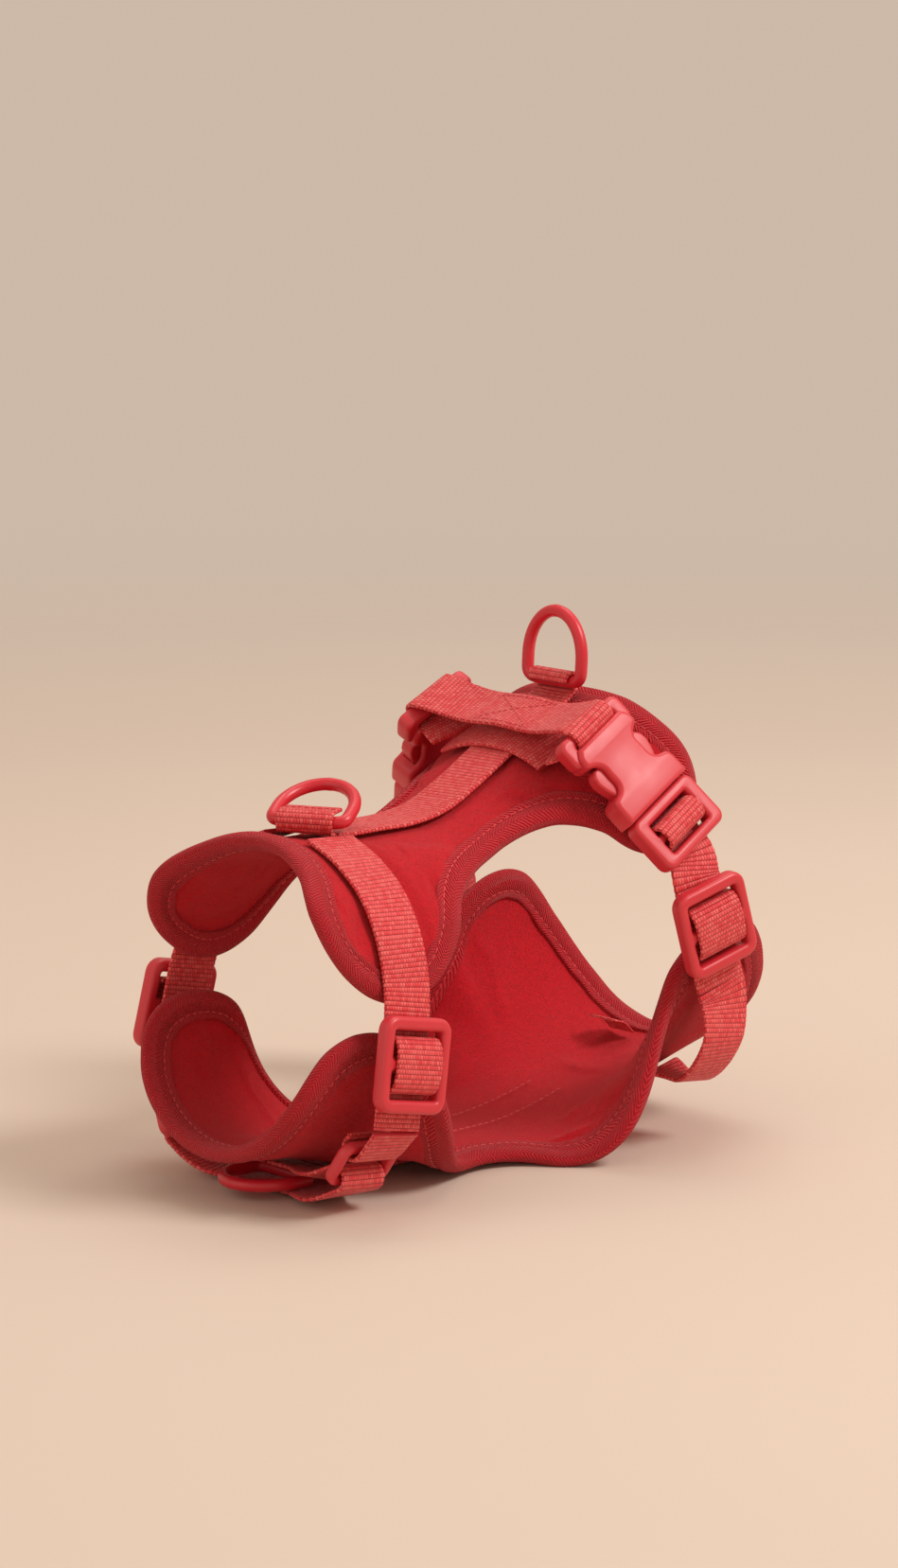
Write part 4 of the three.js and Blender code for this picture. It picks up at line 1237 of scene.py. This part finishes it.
@dataclass
class WebbingFold:
    """Webbing folded over the middle bar of a slide or a plug."""

    reach: float
    rise: float
    foot: float

    def strap(self, name: str, place: Placement, at_y: float = 0.0) -> Strap:
        """The fold as a strap, rising through one window and going down the other."""
        shoulder = 0.72 * self.reach
        rows = (
            (-self.reach, self.foot, -1, 0), (-self.reach, 0.35 * self.rise, -1, 0.2),
            (-shoulder, 0.82 * self.rise, -0.6, 0.8), (0, self.rise, 0, 1),
            (shoulder, 0.82 * self.rise, 0.6, 0.8),
            (self.reach, 0.35 * self.rise, 1, 0.2), (self.reach, self.foot, 1, 0),
        )
        stations = []
        for y, z, out_y, out_z in rows:
            stations.append((place.world(np.array([0, y + at_y, z])),
                             unit(out_y * place.y + out_z * place.z)))
        return Strap(name, stations, step=0.8)


@dataclass
class Buckle:
    """A side-release buckle: the socket, and the plug with its two springy prongs."""

    hand: Hand
    width: float = 33.0
    socket_thickness: float = 10.0
    body_from: float = 6.0
    mouth: float = 34.0
    scoop_from: float = 10.0
    scoop_to: float = 24.0
    scoop_half: float = 9.5
    plug_length: float = 21.0
    plug_thickness: float = 7.0
    plug_from: float = 34.3
    bar_to_end: float = 4.0 + 6.3
    bar_width: float = 3.0
    window_length: float = 12.6
    prong_thickness: float = 5.2
    prong_inner: float = 6.5
    prong_outer: float = 10.5
    prong_root: float = 2.0
    hinge_drop: float = 2.3

    def socket_outline(self) -> Array:
        """The socket's outline: full width at the mouth, scooped where the prongs show."""
        half = self.width / 2
        right = [
            (half - 4.5, self.body_from - 3), (half - 2.2, self.body_from),
            (half - 2.2, self.scoop_from - 0.5),
            (self.scoop_half + 1.6, self.scoop_from + 1.4),
            (self.scoop_half, self.scoop_from + 3.5), (self.scoop_half, 17),
            (self.scoop_half + 0.2, self.scoop_to - 3), (self.scoop_half + 1.8, self.scoop_to - 1),
            (half - 1.2, self.scoop_to + 0.6), (half - 0.2, self.scoop_to + 2.4),
            (half, self.mouth - 5),
        ]
        curve = spline(right, 4)
        curve = np.vstack([curve, [(half, self.mouth)]])
        return np.vstack([curve, curve[::-1] * (-1, 1)])

    def socket(self) -> bpy.types.Object:
        """Makes the socket: a hollow body, two horns and a bar."""
        place = buckle_place(self.hand)
        name = f"{self.hand.word}_socket_moulding"
        shape = self.socket_outline()
        body = MouldedPlate(name, shape, [], self.socket_thickness, 1.7, place).build()
        horns = MouldedPlate(
            f"{self.hand.word}_socket_horns", rounded_rectangle(3, self.width, 11.4, 3.4),
            [rounded_rectangle(3.6, WEBBING_WIDTH + 1.4, 4, 0.8)], 6.4, 1.6, place).build()
        hollow = self.block(f"{self.hand.word}_hollow", place, (24.4, 27, 5.6), (0, 22.5, 0))
        cut = body.modifiers.new("hollow", "BOOLEAN")
        cut.object, cut.solver = hollow, "EXACT"
        self.settle(body)
        bpy.data.objects.remove(hollow)
        self.settle(horns)
        return self.joined(body, horns)

    @staticmethod
    def block(name: str, place: Placement, size: Point, centre: Point) -> bpy.types.Object:
        """A plain block used only to cut a hollow."""
        corners = [(x, y, z) for x in (-0.5, 0.5) for y in (-0.5, 0.5) for z in (-0.5, 0.5)]
        local = np.array(corners) * np.array(size) + np.array(centre)
        faces = [(0, 1, 3, 2), (4, 6, 7, 5), (0, 4, 5, 1), (2, 3, 7, 6), (0, 2, 6, 4), (1, 5, 7, 3)]
        return make_mesh(name, place.world(local), faces)

    @staticmethod
    def settle(piece: bpy.types.Object) -> None:
        """Applies a piece's modifiers to its mesh."""
        bpy.context.view_layer.update()
        solved = bpy.context.evaluated_depsgraph_get()
        mesh = bpy.data.meshes.new_from_object(piece.evaluated_get(solved))
        piece.modifiers.clear()
        piece.data = mesh

    @staticmethod
    def joined(first: bpy.types.Object, second: bpy.types.Object) -> bpy.types.Object:
        """Makes one object of two."""
        with bpy.context.temp_override(active_object=first,
                                       selected_editable_objects=[first, second]):
            bpy.ops.object.join()
        return first

    def plug_place(self) -> Placement:
        """The root of the plug, where its prongs bend."""
        place = buckle_place(self.hand)
        return Placement(place.world(np.array([0, self.plug_from, 0])), place.x, place.y, place.z)

    def plug(self) -> bpy.types.Object:
        """Makes the plug's frame with its bar."""
        middle = self.plug_length - self.bar_to_end
        window = (self.window_length - self.bar_width) / 2
        apart = (self.bar_width + window) / 2
        holes = [rounded_rectangle(middle + s * apart, WEBBING_WIDTH + 1.4, window, 0.8)
                 for s in (1, -1)]
        outline = rounded_rectangle(self.plug_length / 2, self.width, self.plug_length, 3.6)
        name = f"{self.hand.word}_plug_moulding"
        return MouldedPlate(name, outline, holes, self.plug_thickness, 1.5,
                            self.plug_place()).build()

    def prong(self, sign: int, word: str) -> bpy.types.Object:
        """Makes one prong with its rounded thumb pad."""
        root = self.plug_from
        hinge = root - self.hinge_drop
        outer = [
            (self.prong_inner, hinge), (self.prong_inner, 15), (7.6, 12.4), (9.6, 11.8),
            (12.2, 12.2), (13.7, 14), (14.2, 16.5), (13.4, 20), (11.6, 24.5),
            (self.prong_outer, 27), (self.prong_outer, hinge),
        ]
        middle = (self.prong_inner + self.prong_outer) / 2
        turns = np.radians([30, 60, 90, 120, 150])
        outer += [(middle + self.prong_root * math.cos(t), hinge + self.prong_root * math.sin(t))
                  for t in turns]
        shape = np.array(outer, float)
        shape[:, 1] -= root
        shape[:, 0] *= sign
        if sign < 0:
            shape = shape[::-1]
        name = f"{self.hand.word}_{word}_prong_moulding"
        return MouldedPlate(name, shape, [], self.prong_thickness, 0.9, self.plug_place()).build()

    def make(self, finishes: Finishes) -> None:
        """Builds and dresses the buckle."""
        word = self.hand.word
        dress(self.socket(), finishes.plastic, "harness", [f"{word}_buckle_socket"])
        dress(self.plug(), finishes.plastic, f"{word}_plug", [f"{word}_buckle_plug"])
        for sign, order in ((1, "first"), (-1, "second")):
            prong = self.prong(sign, order)
            dress(prong, finishes.plastic, f"{word}_{order}_prong",
                  [f"{word}_buckle_{order}_prong"])
        bar = self.plug_length - self.bar_to_end
        fold = WebbingFold(4.1, 5.2, -2.6).strap(f"{word}_plug_fold", self.plug_place(), bar)
        dress(fold.build(), finishes.webbing, f"{word}_plug",
              [f"{word}_plug_webbing"])


@dataclass
class SideStraps:
    """The slides, the chest loop and the straps of one side."""

    hand: Hand
    slide_width: float = 29.6
    slide_length: float = 32.0
    slide_thickness: float = 5.0
    loop_length: float = 17.0
    loop_bar: float = 3.5
    loop_wrap: float = 4.1
    loop_width: float = 28.0
    window: float = 9.5
    window_width: float = 21.4
    middle_bar: float = 4.0

    @property
    def behind(self) -> float:
        """How far behind a slide's middle its strap lies."""
        return -(self.slide_thickness / 2 + 1.1 + WEBBING_THICKNESS / 2)

    def slide(self, kind: str, place: Placement, finishes: Finishes) -> None:
        """Builds and dresses a three-bar slide with the webbing over its middle bar."""
        word, body = f"{self.hand.word}_{kind}_slide", f"{self.hand.word}_{kind}_adjuster"
        holes = [rounded_rectangle(s * (self.middle_bar + self.window) / 2, self.window_width,
                                   self.window, 1.0) for s in (1, -1)]
        outline = rounded_rectangle(0, self.slide_width, self.slide_length, 5.2)
        thick = self.slide_thickness + 0.6
        plate = MouldedPlate(word + "_moulding", outline, holes, thick, 1.6, place, 0.3).build()
        dress(plate, finishes.plastic, body, [word])
        fold = WebbingFold(8.6, 3.9, -self.slide_thickness / 2 - 0.05).strap(word + "_fold", place)
        dress(fold.build(), finishes.webbing, body, [word + "_webbing"])

    def loop(self, finishes: Finishes) -> None:
        """Builds and dresses the rectangular loop on the chest strap."""
        word = self.hand.word
        hole = rounded_rectangle(0, WEBBING_WIDTH + 1.2, self.loop_length - 2 * self.loop_bar, 0.8)
        outline = rounded_rectangle(0, self.loop_width, self.loop_length, 4.5)
        place = chest_loop_place(self.hand)
        plate = MouldedPlate(f"{word}_loop_moulding", outline, [hole], 4.2, 1.4, place).build()
        dress(plate, finishes.plastic, f"{word}_loop", [f"{word}_chest_loop"])

    def neck(self, finishes: Finishes) -> None:
        """Builds and dresses the neck strap and its end in the chest loop."""
        word, value = self.hand.word, self.hand.value
        slide, loop = neck_slide_place(self.hand), chest_loop_place(self.hand)
        over = ((-52, 10.4), (-53, 26), (-53, 40), (-54, 54), (-55, 68))
        stations = [BACK.station(x, value * q, OVER_BINDING) for x, q in over]
        stations += [slide.station(0, y, self.behind) for y in (-16, 0, 22)]
        strap = Strap(f"{word}_neck_webbing", stations)
        dress(strap.build(), finishes.webbing, "harness", [f"{word}_neck_strap"])
        start = slide.station(0, 23.0, self.behind)
        bar = (self.loop_length - self.loop_bar) / 2
        tail = loop.station(0, -2 * bar + 4, -self.loop_wrap)
        stations = [start, *reversed(loop.wrap(-bar, self.loop_wrap, start[0])),
                    (tail[0], -tail[1])]
        end = dress(Strap(f"{word}_neck_webbing_end", stations).build(), finishes.webbing,
                    None, [f"{word}_neck_strap_end"])
        foot = loop.world(np.array([0, -bar - 2.0, 0]))
        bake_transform(end)

    def girth(self, finishes: Finishes) -> None:
        """Builds and dresses the girth strap and its end on the belly."""
        word, value = self.hand.word, self.hand.value
        slide, plug = girth_slide_place(self.hand), Buckle(self.hand).plug_place()
        depth = -(3.5 + 3 * GAP + WEBBING_THICKNESS / 2)
        stations = [plug.station(0, 6, depth), plug.station(0, 21, depth)]
        stations += [slide.station(0, y, self.behind) for y in (-16, 0, 24)]
        strap = Strap(f"{word}_girth_webbing", stations)
        dress(strap.build(), finishes.webbing, f"{word}_plug",
              [f"{word}_girth_strap"])
        stations = [slide.station(0, 24.2, self.behind), slide.station(0, 30, self.behind)]
        stations.append((self.hand.flip(82, 66, 38), unit(self.hand.flip(0, 0.95, -0.3))))
        stations.append((self.hand.flip(80, 54, 22.5), unit(self.hand.flip(0, 0.7, -0.7))))
        stations.append(CHEST.station(76, value * 41.5, OVER_BINDING + 1))
        end = dress(Strap(f"{word}_girth_webbing_end", stations).build(), finishes.webbing,
                    None, [f"{word}_girth_strap_end"])
        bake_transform(end)

    @staticmethod
    def metres(point: Array) -> Vector:
        """A point of the harness's axes in the row frame."""
        return Vector(((np.asarray(point) + STANDING) * 0.001).tolist())

    def make(self, finishes: Finishes) -> None:
        """Builds and dresses everything on this side but the buckle."""
        self.slide("girth", girth_slide_place(self.hand), finishes)
        self.slide("neck", neck_slide_place(self.hand), finishes)
        self.loop(finishes)
        self.neck(finishes)
        self.girth(finishes)


# ------------------------------------------------------------------ studio


@dataclass
class Studio:
    """The pale floor, the soft lights and the camera."""

    azimuth: float = math.radians(-43)
    pitch: float = math.radians(10.4)
    distance: float = 1.64
    lens: float = 108.63
    target: tuple[float, float, float] = (0.0, 0.0, 0.085)
    offset: tuple[float, float] = (0.00115, 0.0441)
    floor_radius: float = 8000.0
    floor_sides: int = 96
    aim_height: float = 0.08

    def direction(self, right: float, towards: float, up: float) -> Vector:
        """A direction given as the camera sees it: right, towards the camera and up."""
        a = self.azimuth
        across, back = Vector((math.cos(a), math.sin(a), 0)), Vector((math.sin(a), -math.cos(a), 0))
        return across * right + back * towards + Vector((0, 0, up))

    def floor(self) -> None:
        """Lays a wide round floor."""
        sides = self.floor_sides
        turns = np.linspace(0, 2 * math.pi, sides + 1)[:-1]
        rim = self.floor_radius * np.stack([np.cos(turns), np.sin(turns), 0 * turns], 1)
        points = np.vstack([rim - STANDING * (1, 1, 0), [[0, 0, 0]]]) - (0, 0, STANDING[2])
        floor = make_mesh("studio_floor", points,
                          [(i, (i + 1) % sides, sides) for i in range(sides)])
        floor.data.materials.append(StudioPaper().make())

    def light(self, name: str, where: Vector, size: float, power: float,
              colour: tuple[float, float, float]) -> None:
        """Hangs a soft square light that faces the harness."""
        lamp = bpy.data.lights.new(name, "AREA")
        lamp.size, lamp.energy, lamp.color = size, power, colour
        holder = bpy.data.objects.new(name, lamp)
        holder.location = where
        holder.rotation_mode = "QUATERNION"
        aim = Vector((0, 0, self.aim_height))
        holder.rotation_quaternion = (aim - where).to_track_quat("-Z", "Y")
        bpy.context.scene.collection.objects.link(holder)

    def make(self) -> None:
        """Builds the studio."""
        self.floor()
        self.light("key_light", self.direction(1.3, 0.45, 1.5), 0.6, 23, (1.0, 0.97, 0.94))
        self.light("fill_light", self.direction(-1.4, 1.0, 0.8), 1.6, 4, (1.0, 0.97, 0.95))
        self.light("top_light", self.direction(0.2, -0.6, 1.8), 1.0, 8, (1.0, 0.98, 0.96))
        world = bpy.data.worlds.new("studio_air")
        world.use_nodes = True
        world.node_tree.nodes["Background"].inputs[0].default_value = (0.78, 0.63, 0.51, 1)
        world.node_tree.nodes["Background"].inputs[1].default_value = 0.78
        scene = bpy.context.scene
        scene.world = world
        scene.view_settings.view_transform = "Standard"
        lens = bpy.data.cameras.new("camera")
        lens.lens, lens.sensor_width = self.lens, 36
        camera = bpy.data.objects.new("camera", lens)
        right = Vector((math.cos(self.azimuth), math.sin(self.azimuth), 0))
        back = Vector((math.sin(self.azimuth) * math.cos(self.pitch),
                       -math.cos(self.azimuth) * math.cos(self.pitch),
                       math.sin(self.pitch)))
        aside, above = self.offset
        aimed = Vector(self.target) + back * self.distance
        camera.location = aimed + right * aside + back.cross(right) * above
        camera.rotation_mode = "QUATERNION"
        camera.rotation_quaternion = back.to_track_quat("Z", "Y")
        scene.collection.objects.link(camera)
        scene.camera = camera


def main() -> None:
    """Builds the studio and the harness, piece by piece."""
    logging.basicConfig(level=logging.INFO, format="%(message)s")
    Studio().make()
    finishes = Finishes()
    BACK_PANEL.make(finishes)
    CHEST_PANEL.make(finishes)
    rings = Rings()
    rings.make(finishes)
    MiddleStraps(rings).make(finishes)
    for hand in Hand:
        Buckle(hand).make(finishes)
        SideStraps(hand).make(finishes)


if __name__ == "__main__":
    main()
